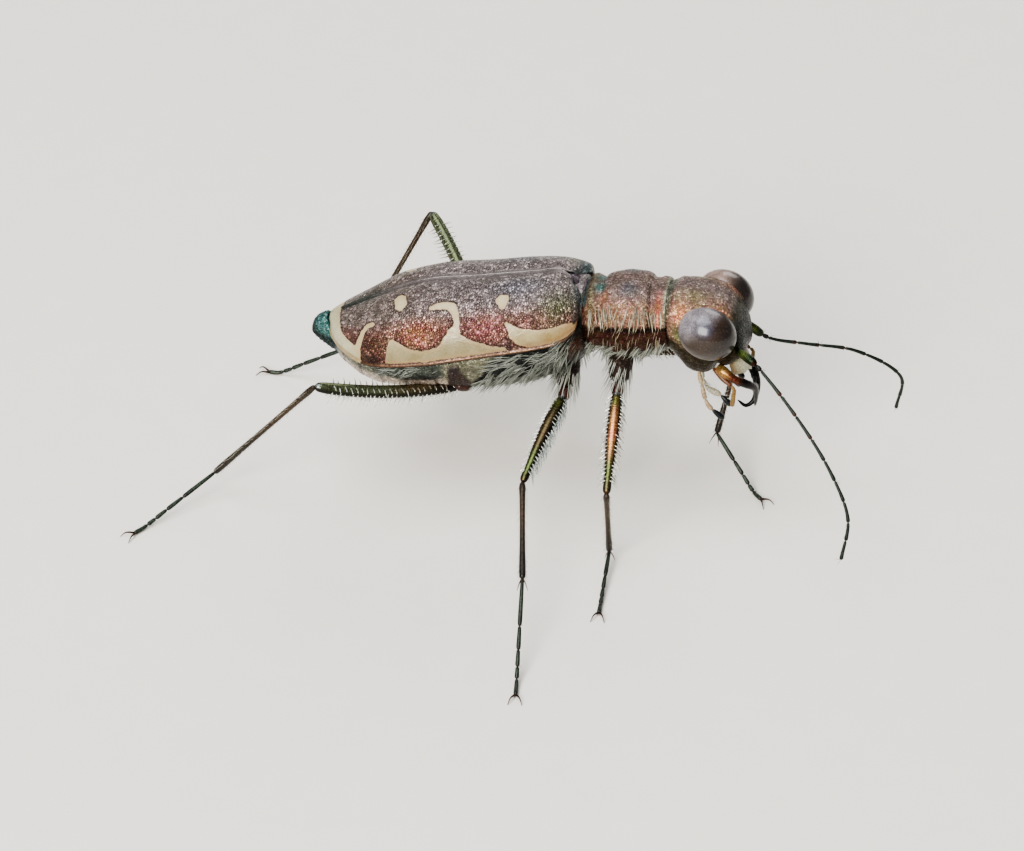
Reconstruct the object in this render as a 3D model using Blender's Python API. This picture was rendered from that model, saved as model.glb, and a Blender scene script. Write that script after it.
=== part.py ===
"""A tiger beetle about 13 mm long, standing on six feet with its head lowered.

Metres, +Z up, the floor at z = 0 and the origin on the floor under the middle of the whole
model. Sizes below are in millimetres. Two frames carry the pieces: BODY lies at the base of the
wing cases, with +X to the front and +Y to the beetle's left, and HEAD lies at the neck.
"""

import math

import bmesh
import bpy
from mathutils import Euler, Matrix, Vector

MM = 0.001
GAP = 0.25  # left between neighbouring pieces
SHELL = 0.45  # thickness of a wing case
THICK = 0.27  # least half thickness of a limb, away from its tip

# How the body stands: the base of the wing cases above the floor, nose up, and right side up.
BODY_HEIGHT = 5.75
BODY_PITCH = 5.1
BODY_ROLL = -5.6
HEAD_PLACE = (2.4, 0.0, 0.5)
HEAD_TURN = -6.9

# The wing cases, from their base at s = 0 to their tip at s = 1.
CASE_FRONT = -0.12
CASE_LENGTH = 7.53
CASE_HALF_WIDTH = 2.15
CASE_WIDTHS = [(0, 0.5), (0.015, 0.7), (0.05, 0.81), (0.14, 0.88), (0.3, 0.94), (0.45, 0.98),
               (0.6, 1.0), (0.75, 0.94), (0.85, 0.8), (0.93, 0.57), (0.98, 0.3), (1, 0.12)]
CASE_CROWN = [(0, 1.36), (0.03, 1.52), (0.1, 1.72), (0.2, 1.69), (0.4, 1.51), (0.57, 1.37),
              (0.72, 1.02), (0.8, 0.72), (0.89, 0.34), (0.96, -0.02), (1, -0.25)]
CASE_EDGE = [(0, 0.7), (0.02, 0.45), (0.07, 0.18), (0.14, 0.04), (0.3, -0.14), (0.45, -0.32),
             (0.6, -0.5), (0.75, -0.64), (0.83, -0.68), (0.91, -0.58), (0.97, -0.48), (1, -0.42)]
CASE_FULLNESS = 2.1
SCUTELLUM = [(-0.05, 0.32), (-0.4, 0.26), (-0.78, 0.1)]  # place along X and half width
SCUTELLUM_HEIGHTS = (0.98, 1.53)

# The trunk under them, thorax and abdomen, to the tip of the abdomen.
TRUNK_FRONT = -0.15
TRUNK_BACK = -8.25
TRUNK_BELLY = [(0, -0.95), (0.04, -1.3), (0.12, -1.6), (0.25, -1.85), (0.42, -1.95), (0.6, -1.98),
               (0.75, -1.9), (0.87, -1.5), (0.94, -1.2), (1, -0.95)]
TRUNK_TAIL = [(0, 0), (0.86, 0.0), (0.9, 0.1), (0.95, 0.35), (1, 0.62)]
TRUNK_RISE = [(0, 0), (0.94, 0), (0.97, 0.12), (1, 0.3)]
TRUNK_INSET = 0.12  # how far the trunk's side lies inside the edge of the wing cases
WAIST = -3.3  # where the thorax ends and the abdomen begins
LAST_RING = -7.1  # where the last ring of the abdomen begins

# The ring of the prothorax: place along X, half width, top and bottom.
PROTHORAX = [(0.1, 0.98, 1.12, -0.5), (0.16, 1.1, 1.25, -0.64), (0.45, 1.14, 1.3, -0.76),
             (0.75, 1.17, 1.38, -0.84), (1.2, 1.21, 1.47, -0.9), (1.7, 1.2, 1.44, -0.86),
             (2.0, 1.15, 1.34, -0.74), (2.13, 1.1, 1.24, -0.66), (2.32, 1.08, 1.24, -0.6),
             (2.38, 0.95, 1.12, -0.5)]

# The head, in its own frame: place along X, half width, top and bottom.
HEAD = [(0.2, 0.84, 0.74, -0.8), (0.26, 0.98, 0.87, -0.98), (0.5, 1.04, 0.91, -1.2),
        (0.9, 1.06, 0.92, -1.46), (1.4, 1.0, 0.82, -1.58), (1.8, 0.92, 0.55, -1.56),
        (2.05, 0.84, 0.2, -1.5), (2.2, 0.74, -0.2, -1.42), (2.28, 0.55, -0.55, -1.3)]
EYE_PLACE = (1.37, 1.1, -0.1)
EYE_SIZE = (0.82, 0.56, 0.82)

# The mandibles cross at their tips; the palps are given on the left side. Both in the head's frame.
MANDIBLE_ROUTES = {
    "right": [(1.75, -0.98, -1.72), (2.2, -1.12, -1.86), (2.6, -0.9, -2.15), (2.62, -0.45, -2.66),
              (2.5, -0.02, -3.05)],
    "left": [(1.75, 0.98, -1.72), (2.1, 1.12, -1.95), (2.3, 0.9, -2.4), (2.2, 0.4, -2.85),
             (2.02, -0.25, -2.95)],
}
MANDIBLE_SHAPE = [(0, 0.27), (0.3, 0.28), (0.6, 0.22), (0.85, 0.14), (1, 0.07)]
MANDIBLE_TEETH = ((4, 0.42), (6, 0.3))  # which of a mandible's nine points each stands on, and its length
PALPS = {
    "maxillary_palp": [(1.1, 1.02, -1.72), (1.4, 1.25, -2.1), (1.65, 1.28, -2.5), (1.85, 1.1, -2.9)],
    "labial_palp": [(0.9, 0.38, -2.0), (1.05, 0.5, -2.4), (1.3, 0.58, -2.78), (1.6, 0.55, -3.1)],
}
PALP_SHAPE = [(0, THICK), (0.3, 0.24), (0.55, 0.26), (1, 0.16)]
LABRUM_FRONT_TO_BACK = 0.54
# The labrum from its top down: height, front and half width.
LABRUM = [(-1.72, 2.22, 0.5), (-1.84, 2.28, 0.56), (-2.02, 2.3, 0.5), (-2.14, 2.28, 0.34)]

# Where each femur begins in the body's frame, on the left side, and its coxa's inner end.
HIPS = {"front": (0.95, 1.12, -1.6), "middle": (-0.6, 1.12, -1.82), "hind": (-3.5, 1.17, -1.64)}
COXAE = {"front": (1.05, 0.45, -0.6), "middle": (-0.55, 0.35, -0.85), "hind": (-2.9, 0.3, -1.35)}
COXA_SHAPE = [(0, 0.34), (0.5, 0.38), (1, 0.3)]
TROCHANTER_SHAPE = [(0, THICK), (0.5, 0.3), (1, 0.28)]
TROCHANTER = {"front": (0.25, 0.3), "middle": (0.25, 0.3), "hind": (0.28, 0.48)}

# Each leg's segments: length, heading from +X towards +Y, and lift above the level, in degrees.
# The tarsus lies at its heading and comes down to the floor from wherever the tibia ends.
LEGS = {
    ("front", "right"): {"femur": (3.46, -86.8, -24.5), "tibia": (2.61, 86.4, -77.4), "tarsus": (2.8, -88.2)},
    ("middle", "right"): {"femur": (3.18, -105.2, -22.4), "tibia": (3.13, -80.2, -21.3),
                          "tarsus": (3.87, -83.7)},
    ("hind", "right"): {"femur": (4.52, -156.9, 9.0), "tibia": (5.01, 174.3, -50.2),
                        "tarsus": (3.44, -129.5)},
    ("front", "left"): {"femur": (3.46, 24.5, -11.7), "tibia": (2.61, -110.8, -60.9), "tarsus": (2.8, -44.6)},
    ("middle", "left"): {"femur": (3.18, 119.1, 17.5), "tibia": (3.13, -56.2, -79.2),
                         "tarsus": (3.87, 123.8)},
    ("hind", "left"): {"femur": (4.52, 122.0, 28.0), "tibia": (5.01, -149.7, -59.3), "tarsus": (3.44, 177.4)},
}
FEMUR_BOW = {
    ("front", "right"): (0, 0, 0.1), ("front", "left"): (0.1, 0, 0),
    ("middle", "right"): (0, 0, 0.1), ("middle", "left"): (0.1, 0, 0),
    ("hind", "right"): (0, 0, -0.22), ("hind", "left"): (0.24, 0, 0),
}
FEMUR_SHAPE = [(0, 0.3), (0.2, 0.36), (0.5, 0.34), (0.8, 0.28), (0.93, 0.27), (1, 0.28)]
TIBIA_SHAPE = [(0, 0.25), (0.08, 0.27), (0.5, 0.26), (0.9, 0.27), (1, 0.29)]
TARSUS_SHAPE = [(0, 0.26), (0.5, 0.25), (0.8, 0.24), (1, 0.2)]
TARSUS_JOINTS = (0.4, 0.6, 0.74, 0.84)
FOOT_LENGTH = 0.4  # of the flat that stands on the floor
FOOT_HEIGHT = 0.13  # of the last segment's middle above the floor
CLAW = 0.55

# The antennae's routes in the head's frame, and where their segments meet as parts of the length.
ANTENNA_ROUTES = {
    "left": [(2.15, 0.75, -0.8), (2.6, 1.15, -1.43), (3.55, 1.62, -1.8), (4.9, 2.25, -2.27),
             (6.03, 2.93, -3.4), (5.78, 3.35, -4.78)],
    "right": [(2.2, -0.73, -0.86), (2.8, -1.01, -1.1), (4.3, -1.82, -2.46), (5.27, -2.38, -3.7),
              (5.77, -2.8, -4.79), (5.64, -3.24, -5.89)],
}
ANTENNA_JOINTS = (0.11, 0.14, 0.27, 0.37, 0.49, 0.59, 0.68, 0.77, 0.85, 0.92)
ANTENNA_PIECES = {"scape": (0.035, 0.11), "inner": (0.145, 0.49), "outer": (0.525, 1.0)}
ANTENNA_SHAPE = [(0, 0.25), (0.5, 0.26), (0.85, 0.24), (1, 0.14)]

COLOURS = {
    "bronze": ((0.16, 0.09, 0.075), 0.38, 0.75),
    "wing_case": ((0.2, 0.1, 0.09), 0.42, 0.55),
    "eye": ((0.13, 0.1, 0.09), 0.15, 0.0),
    "cream": ((0.72, 0.63, 0.47), 0.45, 0.0),
    "amber": ((0.36, 0.15, 0.06), 0.35, 0.0),
    "green_metal": ((0.05, 0.12, 0.09), 0.3, 0.85),
    "dark_horn": ((0.03, 0.025, 0.02), 0.3, 0.2),
    "teal": ((0.03, 0.2, 0.22), 0.3, 0.8),
}


def clear_scene():
    for obj in list(bpy.data.objects):
        bpy.data.objects.remove(obj)


def make_materials():
    """One plain material for each kind of surface."""
    made = {}
    for name, (colour, roughness, metallic) in COLOURS.items():
        material = bpy.data.materials.new(name)
        material.use_nodes = True
        shader = material.node_tree.nodes["Principled BSDF"]
        shader.inputs["Base Color"].default_value = (*colour, 1)
        shader.inputs["Roughness"].default_value = roughness
        shader.inputs["Metallic"].default_value = metallic
        material.diffuse_color = (*colour, 1)
        made[name] = material
    return made


def smooth(keys, s):
    """The value at s on a smooth curve through (place, value) pairs."""
    for i in range(len(keys) - 1):
        if s <= keys[i + 1][0] or i == len(keys) - 2:
            break
    (s0, v0), (s1, v1) = keys[i], keys[i + 1]

    def slope(k):
        low, high = max(k - 1, 0), min(k + 1, len(keys) - 1)
        return (keys[high][1] - keys[low][1]) / (keys[high][0] - keys[low][0])

    span = s1 - s0
    t = min(max((s - s0) / span, 0.0), 1.0)
    rise, turn = 3 * t**2 - 2 * t**3, t * (1 - t)
    return v0 + (v1 - v0) * rise + span * turn * (slope(i) * (1 - t) - slope(i + 1) * t)


def smooth_route(points, count):
    """count points on a smooth curve through the given ones, spread evenly along its length."""
    lengths = [0.0]
    for one, two in zip(points, points[1:]):
        lengths.append(lengths[-1] + (Vector(two) - Vector(one)).length)
    axes = [[(length, point[k]) for length, point in zip(lengths, points)] for k in range(3)]
    total = lengths[-1]
    return [Vector([smooth(axis, total * i / (count - 1)) for axis in axes]) for i in range(count)]


def loft(rings):
    """A closed skin through rings of points in millimetres, capped at both ends."""
    bm = bmesh.new()
    loops = [[bm.verts.new(Vector(point) * MM) for point in ring] for ring in rings]
    count = len(loops[0])
    for one, two in zip(loops, loops[1:]):
        for i in range(count):
            j = (i + 1) % count
            bm.faces.new((one[i], one[j], two[j], two[i]))
    bm.faces.new(loops[0][::-1])
    bm.faces.new(loops[-1])
    if bm.calc_volume(signed=True) < 0:
        bmesh.ops.reverse_faces(bm, faces=bm.faces)
    return bm


def make_object(name, bm, material, parent=None):
    mesh = bpy.data.meshes.new(name)
    bm.to_mesh(mesh)
    bm.free()
    mesh.materials.append(material)
    mesh.shade_smooth()
    obj = bpy.data.objects.new(name, mesh)
    bpy.context.scene.collection.objects.link(obj)
    obj.parent = parent
    return obj


def keep_largest(obj):
    """Drops every closed surface of the object but its largest."""
    bm = bmesh.new()
    bm.from_mesh(obj.data)
    bm.verts.ensure_lookup_table()
    unseen = set(bm.verts)
    islands = []
    while unseen:
        stack = [unseen.pop()]
        island = set(stack)
        while stack:
            for edge in stack.pop().link_edges:
                for vert in edge.verts:
                    if vert in unseen:
                        unseen.discard(vert)
                        island.add(vert)
                        stack.append(vert)
        islands.append(island)
    islands.sort(key=len, reverse=True)
    for island in islands[1:]:
        bmesh.ops.delete(bm, geom=list(island), context="VERTS")
    bm.to_mesh(obj.data)
    bm.free()


def combine(obj, others, operation):
    """Joins the other objects to this one, or cuts them from it, and removes them."""
    helpers = bpy.data.collections.new("helpers")
    bpy.context.scene.collection.children.link(helpers)
    for other in others:
        bpy.context.scene.collection.objects.unlink(other)
        helpers.objects.link(other)
    modifier = obj.modifiers.new("join", "BOOLEAN")
    modifier.operation = operation
    modifier.operand_type = "COLLECTION"
    modifier.collection = helpers
    modifier.solver = "EXACT"
    graph = bpy.context.evaluated_depsgraph_get()
    mesh = bpy.data.meshes.new_from_object(obj.evaluated_get(graph))
    obj.modifiers.clear()
    obj.data = mesh
    for other in others:
        bpy.data.objects.remove(other)
    bpy.data.collections.remove(helpers)
    keep_largest(obj)


def arc(power, count):
    """(across, up) from (0, 1) to (1, 0) on a quarter of a rounded square."""
    made = []
    for i in range(count):
        angle = math.radians(90 * i / (count - 1))
        made.append((math.sin(angle) ** (2 / power), math.cos(angle) ** (2 / power)))
    return made


def ring_of_quarters(x, upper, lower):
    """A closed ring at x from its right half's (across, height) points, top to bottom."""
    half = upper + lower
    right = [(x, -y, z) for y, z in half]
    left = [(x, y, z) for y, z in reversed(half) if y > 1e-6]
    return right + left


def rounded_ring(x, half_width, top, bottom, power=2.3, count=7):
    middle = (top + bottom) / 2
    upper = [(half_width * a, middle + (top - middle) * b) for a, b in arc(power, count)]
    lower = [(half_width * a, middle + (bottom - middle) * b) for a, b in reversed(arc(power, count))]
    return ring_of_quarters(x, upper, lower[1:])


def spread(count):
    """Places from 0 to 1, closer together near both ends."""
    return [(1 - math.cos(math.pi * i / (count - 1))) / 2 for i in range(count)]


def case_sizes(s):
    """Half width, crown and lower edge of the two wing cases at s along them."""
    return CASE_HALF_WIDTH * smooth(CASE_WIDTHS, s), smooth(CASE_CROWN, s), smooth(CASE_EDGE, s)


def case_dome(inset, skirt, front, count):
    """The dome of both wing cases from a place in front, smaller by inset, with a skirt below its edge."""
    rings = []
    for s in spread(count):
        x = front - (front - CASE_FRONT + CASE_LENGTH - inset) * s
        width, crown, edge = case_sizes(min(max((CASE_FRONT - x) / CASE_LENGTH, 0), 1))
        shrink = 1 - 0.35 * inset * (s > 0.9)
        width = max(width - inset, 0.12) * shrink
        crown = max(crown - inset, edge + 0.1)
        upper = [(width * a, edge + (crown - edge) * b) for a, b in arc(CASE_FULLNESS, 9)]
        lower = [(width, edge - skirt), (0, edge - skirt)]
        rings.append(ring_of_quarters(x, upper, lower))
    return loft(rings)


def box(low, high):
    bm = bmesh.new()
    size = [b - a for a, b in zip(low, high)]
    middle = [(a + b) / 2 * MM for a, b in zip(low, high)]
    bmesh.ops.create_cube(bm, size=MM)
    bmesh.ops.scale(bm, vec=size, verts=bm.verts)
    bmesh.ops.translate(bm, vec=middle, verts=bm.verts)
    return bm


def tube_rings(points, radii, sides):
    """Rings square to a route, with no twist between them."""
    rings = []
    side = None
    last = len(points) - 1
    for i, (point, radius) in enumerate(zip(points, radii)):
        ahead = (points[min(i + 1, last)] - points[max(i - 1, 0)]).normalized()
        if side is None:
            side = ahead.orthogonal()
        side = (side - ahead * side.dot(ahead)).normalized()
        other = ahead.cross(side)
        turns = [2 * math.pi * k / sides for k in range(sides)]
        rings.append([point + (side * math.cos(a) + other * math.sin(a)) * radius for a in turns])
    return rings


def limb(route, shape, sides=8, rings=5, grow=0.0):
    """A round limb along a route of points, with rounded ends; shape gives its half thickness."""
    lengths = [0.0]
    for one, two in zip(route, route[1:]):
        lengths.append(lengths[-1] + (two - one).length)
    total = lengths[-1]
    axes = [[(length, point[k]) for length, point in zip(lengths, route)] for k in range(3)]
    most = 0.45 * (total + 2 * grow)
    first, last = min(smooth(shape, 0) + grow, most), min(smooth(shape, 1) + grow, most)
    places = [-grow, -grow + 0.25 * first]
    places += [first - grow + (total - first - last + 2 * grow) * i / (rings - 1) for i in range(rings)]
    places += [total + grow - 0.25 * last, total + grow]
    points, radii = [], []
    for place in places:
        inner = min(max(place, 0.0), total)
        point = Vector([smooth(axis, inner) for axis in axes])
        if place != inner:
            end = (route[1] - route[0]) if place < 0 else (route[-1] - route[-2])
            point += end.normalized() * (place - inner)
        from_end = max(min((place + grow) / first, (total + grow - place) / last, 1.0), 0.0)
        points.append(point)
        rounding = max(math.sqrt(1 - (1 - from_end) ** 2), 0.45)
        radii.append((smooth(shape, inner / total) + grow) * rounding)
    return loft(tube_rings(points, radii, sides))


def heading(turn, lift):
    """The direction turned from +X towards +Y and lifted above the level, both in degrees."""
    turn, lift = math.radians(turn), math.radians(lift)
    return Vector((math.cos(turn) * math.cos(lift), math.sin(turn) * math.cos(lift), math.sin(lift)))


def mirrored(point, side):
    """The point for this side of the body, from its place on the left side."""
    return Vector((point[0], point[1] if side == "left" else -point[1], point[2]))


def frames():
    """The empties that carry the body's and the head's pieces."""
    body = bpy.data.objects.new("body_frame", None)
    body.matrix_world = (
        Matrix.Translation((0, 0, BODY_HEIGHT * MM))
        @ Matrix.Rotation(math.radians(-BODY_PITCH), 4, "Y")
        @ Matrix.Rotation(math.radians(BODY_ROLL), 4, "X")
    )
    head = bpy.data.objects.new("head_frame", None)
    head.parent = body
    head.location = Vector(HEAD_PLACE) * MM
    head.rotation_euler = Euler((0, 0, math.radians(HEAD_TURN)))
    for frame in (body, head):
        bpy.context.scene.collection.objects.link(frame)
    bpy.context.view_layer.update()
    return body, head


def make_wing_cases(materials, body):
    """Two shells that meet along the back, notched for the scutellum."""
    material = materials["wing_case"]
    whole = make_object("whole", case_dome(0, 0, CASE_FRONT, 30), material, body)
    # The inside begins in front of the base, so that the shells are open there.
    inside = make_object("inside", case_dome(SHELL, 1.0, CASE_FRONT + 0.5, 26), material, body)
    notch = make_object("notch", scutellum_shape(GAP), material, body)
    combine(whole, [inside, notch], "DIFFERENCE")
    far = 20
    for side, low, high in (("left", -far, GAP / 2), ("right", -GAP / 2, far)):
        half = bpy.data.objects.new(f"elytron_{side}", whole.data.copy())
        bpy.context.scene.collection.objects.link(half)
        half.parent = body
        cutter = make_object("cutter", box((-far, low, -far), (far, high, far)), material, body)
        combine(half, [cutter], "DIFFERENCE")
    bpy.data.objects.remove(whole)


def scutellum_shape(grow):
    """The small three-cornered plate between the bases of the wing cases."""
    (front, _), (back, _) = SCUTELLUM[0], SCUTELLUM[-1]
    low, top = SCUTELLUM_HEIGHTS[0] - grow, SCUTELLUM_HEIGHTS[1] + grow
    rings = []
    for x, half_width in SCUTELLUM:
        x += grow * ((x == front) - (x == back))
        wide = half_width + grow
        rings.append([(x, -wide, low), (x, -wide, top), (x, 0, top + 0.05), (x, wide, top), (x, wide, low)])
    return loft(rings)


def trunk_ring(x):
    s = (x - TRUNK_FRONT) / (TRUNK_BACK - TRUNK_FRONT)
    along = min(max((CASE_FRONT - x) / CASE_LENGTH, 0.02), 0.985)
    width, crown, edge = case_sizes(along)
    narrow = 1 - smooth(TRUNK_TAIL, s)
    rise = smooth(TRUNK_RISE, s)
    ledge = edge - GAP + rise
    belly = smooth(TRUNK_BELLY, s) + rise / 2
    inner = max(width - SHELL - GAP, 0.25) * narrow
    outer = max(width - TRUNK_INSET, inner + 0.02) * (narrow if s > 0.9 else 1)
    top = max(crown - SHELL - GAP - 0.05, ledge + 0.04)
    upper = [(inner * a, ledge + (top - ledge) * b) for a, b in arc(2.2, 6)]
    lower = [(outer * a, ledge + (belly - ledge) * b) for a, b in reversed(arc(1.9, 8))]
    return ring_of_quarters(x, upper, lower)


def make_trunk(materials, body, cutters):
    """Thorax, abdomen and its last ring: one form parted by thin cuts, with room cut for the hips."""
    parts = [
        ("thorax", TRUNK_FRONT, WAIST + GAP / 2, "bronze", 12),
        ("abdomen", WAIST - GAP / 2, LAST_RING + GAP / 2, "bronze", 11),
        ("abdomen_tip", LAST_RING - GAP / 2, TRUNK_BACK, "teal", 7),
    ]
    for name, front, back, material, count in parts:
        places = [front + (back - front) * i / (count - 1) for i in range(count)]
        obj = make_object(name, loft([trunk_ring(x) for x in places]), materials[material], body)
        if name in cutters:
            combine(obj, cutters[name], "DIFFERENCE")


def make_prothorax(materials, body, cutters):
    keys = [[(row[0], row[k]) for row in PROTHORAX] for k in (1, 2, 3)]
    rings = [rounded_ring(row[0], *(smooth(key, row[0]) for key in keys), 2.25, 8) for row in PROTHORAX]
    obj = make_object("prothorax", loft(rings), materials["bronze"], body)
    combine(obj, cutters, "DIFFERENCE")


def ball(place, size, grow=0.0, turns=20, rings=12):
    bm = bmesh.new()
    bmesh.ops.create_uvsphere(bm, u_segments=turns, v_segments=rings, radius=MM)
    bmesh.ops.scale(bm, vec=[half + grow for half in size], verts=bm.verts)
    bmesh.ops.translate(bm, vec=Vector(place) * MM, verts=bm.verts)
    return bm


def make_head(materials, head):
    keys = [[(row[0], row[k]) for row in HEAD] for k in (1, 2, 3)]
    count = 15
    places = [HEAD[0][0], HEAD[1][0]]
    places += [HEAD[1][0] + (HEAD[-2][0] - HEAD[1][0]) * i / (count - 1) for i in range(1, count)]
    places.append(HEAD[-1][0])
    rings = [rounded_ring(x, *(smooth(key, x) for key in keys), 2.3, 9) for x in places]
    obj = make_object("head", loft(rings), materials["bronze"], head)
    sockets = []
    for side in ("left", "right"):
        place = mirrored(EYE_PLACE, side)
        sockets.append(make_object("socket", ball(place, EYE_SIZE, GAP), materials["bronze"], head))
        make_object(f"eye_{side}", ball(place, EYE_SIZE), materials["eye"], head)
    combine(obj, sockets, "DIFFERENCE")


def make_mouth(materials, head):
    """The labrum, the two long toothed mandibles and the two pairs of palps."""
    deep = LABRUM_FRONT_TO_BACK / 2
    turns = [math.radians(a) for a in range(0, 360, 30)]
    rings = []
    for z, front, wide in LABRUM:
        rings.append([(front - deep + deep * math.cos(a), wide * math.sin(a), z) for a in turns])
    make_object("labrum", loft(rings), materials["cream"], head)
    for side, route in MANDIBLE_ROUTES.items():
        points = smooth_route(route, 9)
        blade = make_object(f"mandible_{side}", limb(points, MANDIBLE_SHAPE, 8, 7), materials["amber"], head)
        teeth = []
        for along, reach in MANDIBLE_TEETH:
            inward = Vector((0, -1 if side == "left" else 1, 0.35)).normalized()
            tip = points[along] + inward * reach + Vector((0, 0, 0.05))
            line = [points[along], points[along].lerp(tip, 0.5), tip]
            tooth = limb(line, [(0, 0.14), (1, 0.05)], 6, 3)
            teeth.append(make_object("tooth", tooth, materials["amber"], head))
        combine(blade, teeth, "UNION")
    for name, route in PALPS.items():
        material = materials["amber" if name == "maxillary_palp" else "cream"]
        for side in ("left", "right"):
            points = smooth_route([mirrored(p, side) for p in route], 8)
            make_object(f"{name}_{side}", limb(points, PALP_SHAPE, 8, 6), material, head)


def segmented(shape, joints, first, last, depth):
    """A limb's half thickness between first and last, pinched by depth where its segments meet."""
    keys = []
    pinch = 0.02
    for place in [first, *(j for j in joints if first < j < last), last]:
        for step, cut in ((-pinch, 0.0), (0.0, depth), (pinch, 0.0)):
            s = place + step
            if first <= s <= last:
                at_end = place in (first, last)
                left = 1 if at_end else 1 - cut
                keys.append(((s - first) / (last - first), smooth(shape, s) * left))
    return keys


def part_of_route(points, first, last, count):
    last_index = len(points) - 1
    made = []
    for i in range(count):
        place = (first + (last - first) * i / (count - 1)) * last_index
        low = min(int(place), last_index - 1)
        made.append(points[low].lerp(points[low + 1], place - low))
    return made


def make_antennae(materials, head):
    for side, route in ANTENNA_ROUTES.items():
        points = smooth_route([Vector(p) for p in route], 41)
        for piece, (first, last) in ANTENNA_PIECES.items():
            line = part_of_route(points, first, last, 12)
            shape = segmented(ANTENNA_SHAPE, ANTENNA_JOINTS, first, last, 0.2)
            rings = {"scape": 4, "inner": 13, "outer": 19}[piece]
            material = materials["green_metal" if piece == "scape" else "dark_horn"]
            make_object(f"antenna_{side}_{piece}", limb(line, shape, 8, rings), material, head)


def leg_joints(pair, side, body):
    """World places in millimetres of the femur's base, the knee, the ankle and the tip of the foot."""
    pose = LEGS[pair, side]
    hip = body.matrix_world @ (mirrored(HIPS[pair], side) * MM) / MM
    knee = hip + heading(*pose["femur"][1:]) * pose["femur"][0]
    ankle = knee + heading(*pose["tibia"][1:]) * pose["tibia"][0]
    length, turn = pose["tarsus"]
    reach = math.sqrt(length**2 - ankle.z**2)
    tip = ankle + heading(turn, 0) * reach
    tip.z = 0
    return hip, knee, ankle, tip


def clear_start(before, joint, after, thick_before, thick_after):
    """How far past a joint the next segment begins, so that it clears the one before by GAP."""
    back = (before - joint).normalized()
    ahead = (after - joint).normalized()
    cosine = back.dot(ahead)
    sine = max(math.sqrt(1 - cosine**2), 0.3)
    if cosine < 0:
        return thick_before + GAP
    return (thick_before + GAP + thick_after * cosine) / sine


def make_tarsus(name, ankle, tip, start, materials):
    """Five short segments that end in two claws on a small flat."""
    first = ankle + (tip - ankle).normalized() * start
    flat_run = Vector((tip.x - ankle.x, tip.y - ankle.y, 0)).normalized()
    rest = tip - flat_run * CLAW * 0.8 + Vector((0, 0, FOOT_HEIGHT))
    bend = rest - flat_run * FOOT_LENGTH
    line = [first, first.lerp(bend, 0.35), first.lerp(bend, 0.7), bend, rest]
    shape = segmented(TARSUS_SHAPE, TARSUS_JOINTS, 0, 1, 0.18)
    foot = make_object(name, limb(line, shape, 8, 14), materials["dark_horn"])
    across = flat_run.cross(Vector((0, 0, 1)))
    claws = []
    for turn in (-1, 1):
        root = rest - flat_run * 0.12
        bow = rest + flat_run * CLAW * 0.45 + across * turn * 0.15 + Vector((0, 0, 0.08))
        end = rest + flat_run * CLAW * 0.8 + across * turn * 0.22 + Vector((0, 0, -0.02))
        claw = limb([root, bow, end], [(0, 0.13), (1, 0.05)], 6, 3)
        claws.append(make_object("claw", claw, materials["dark_horn"]))
    combine(foot, claws, "UNION")
    far = 30
    floor = make_object("floor", box((-far, -far, -far), (far, far, 0)), materials["dark_horn"])
    combine(foot, [floor], "DIFFERENCE")


def make_legs(materials, body):
    """All six legs; returns the cutters that leave room for them in the trunk and the prothorax."""
    cutters = {"prothorax": [], "thorax": [], "abdomen": []}
    carried_by = {"front": ["prothorax"], "middle": ["thorax"], "hind": ["thorax", "abdomen"]}
    for pair, side in LEGS:
        name = f"leg_{pair}_{side}"
        hip, knee, ankle, tip = leg_joints(pair, side, body)
        toward = (knee - hip).normalized()
        inner, outer = TROCHANTER[pair]
        root = body.matrix_world @ (mirrored(COXAE[pair], side) * MM) / MM
        coxa_end = hip - (hip - root).normalized() * (inner + 0.05 + GAP)
        femur_start = hip + toward * (outer + GAP)
        bow = Vector(FEMUR_BOW[pair, side])
        femur_line = [femur_start.lerp(knee, t) + bow * 4 * t * (1 - t) for t in (0, 0.25, 0.5, 0.75, 1)]
        bead = [hip - toward * inner, hip, hip + toward * outer]
        near_body = {
            "coxa": ([root, root.lerp(coxa_end, 0.5), coxa_end], COXA_SHAPE, 10, 4, "bronze"),
            "trochanter": (bead, TROCHANTER_SHAPE, 8, 3, "amber"),
            "femur": (femur_line, FEMUR_SHAPE, 8, 6, "green_metal"),
        }
        for piece, (line, shape, sides, rings, material) in near_body.items():
            make_object(f"{name}_{piece}", limb(line, shape, sides, rings), materials[material])
            for carrier in carried_by[pair]:
                room = make_object("room", limb(line, shape, sides, rings, GAP), materials[material])
                cutters[carrier].append(room)
        start = clear_start(hip, knee, ankle, FEMUR_SHAPE[-1][1], TIBIA_SHAPE[0][1])
        along = (ankle - knee).normalized()
        line = [knee + along * start, knee.lerp(ankle, 0.5), ankle]
        make_object(f"{name}_tibia", limb(line, TIBIA_SHAPE, 8, 5), materials["bronze"])
        start = clear_start(knee, ankle, tip, TIBIA_SHAPE[-1][1], TARSUS_SHAPE[0][1])
        make_tarsus(f"{name}_tarsus", ankle, tip, start, materials)
    return cutters


def centre_on_floor(carriers):
    """Moves everything level so that the middle of the whole model is above the origin."""
    bpy.context.view_layer.update()
    meshes = [obj for obj in bpy.data.objects if obj.type == "MESH"]
    corners = [obj.matrix_world @ vert.co for obj in meshes for vert in obj.data.vertices]
    for axis in (0, 1):
        values = [corner[axis] for corner in corners]
        middle = (min(values) + max(values)) / 2
        for carrier in carriers:
            carrier.location[axis] -= middle


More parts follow.
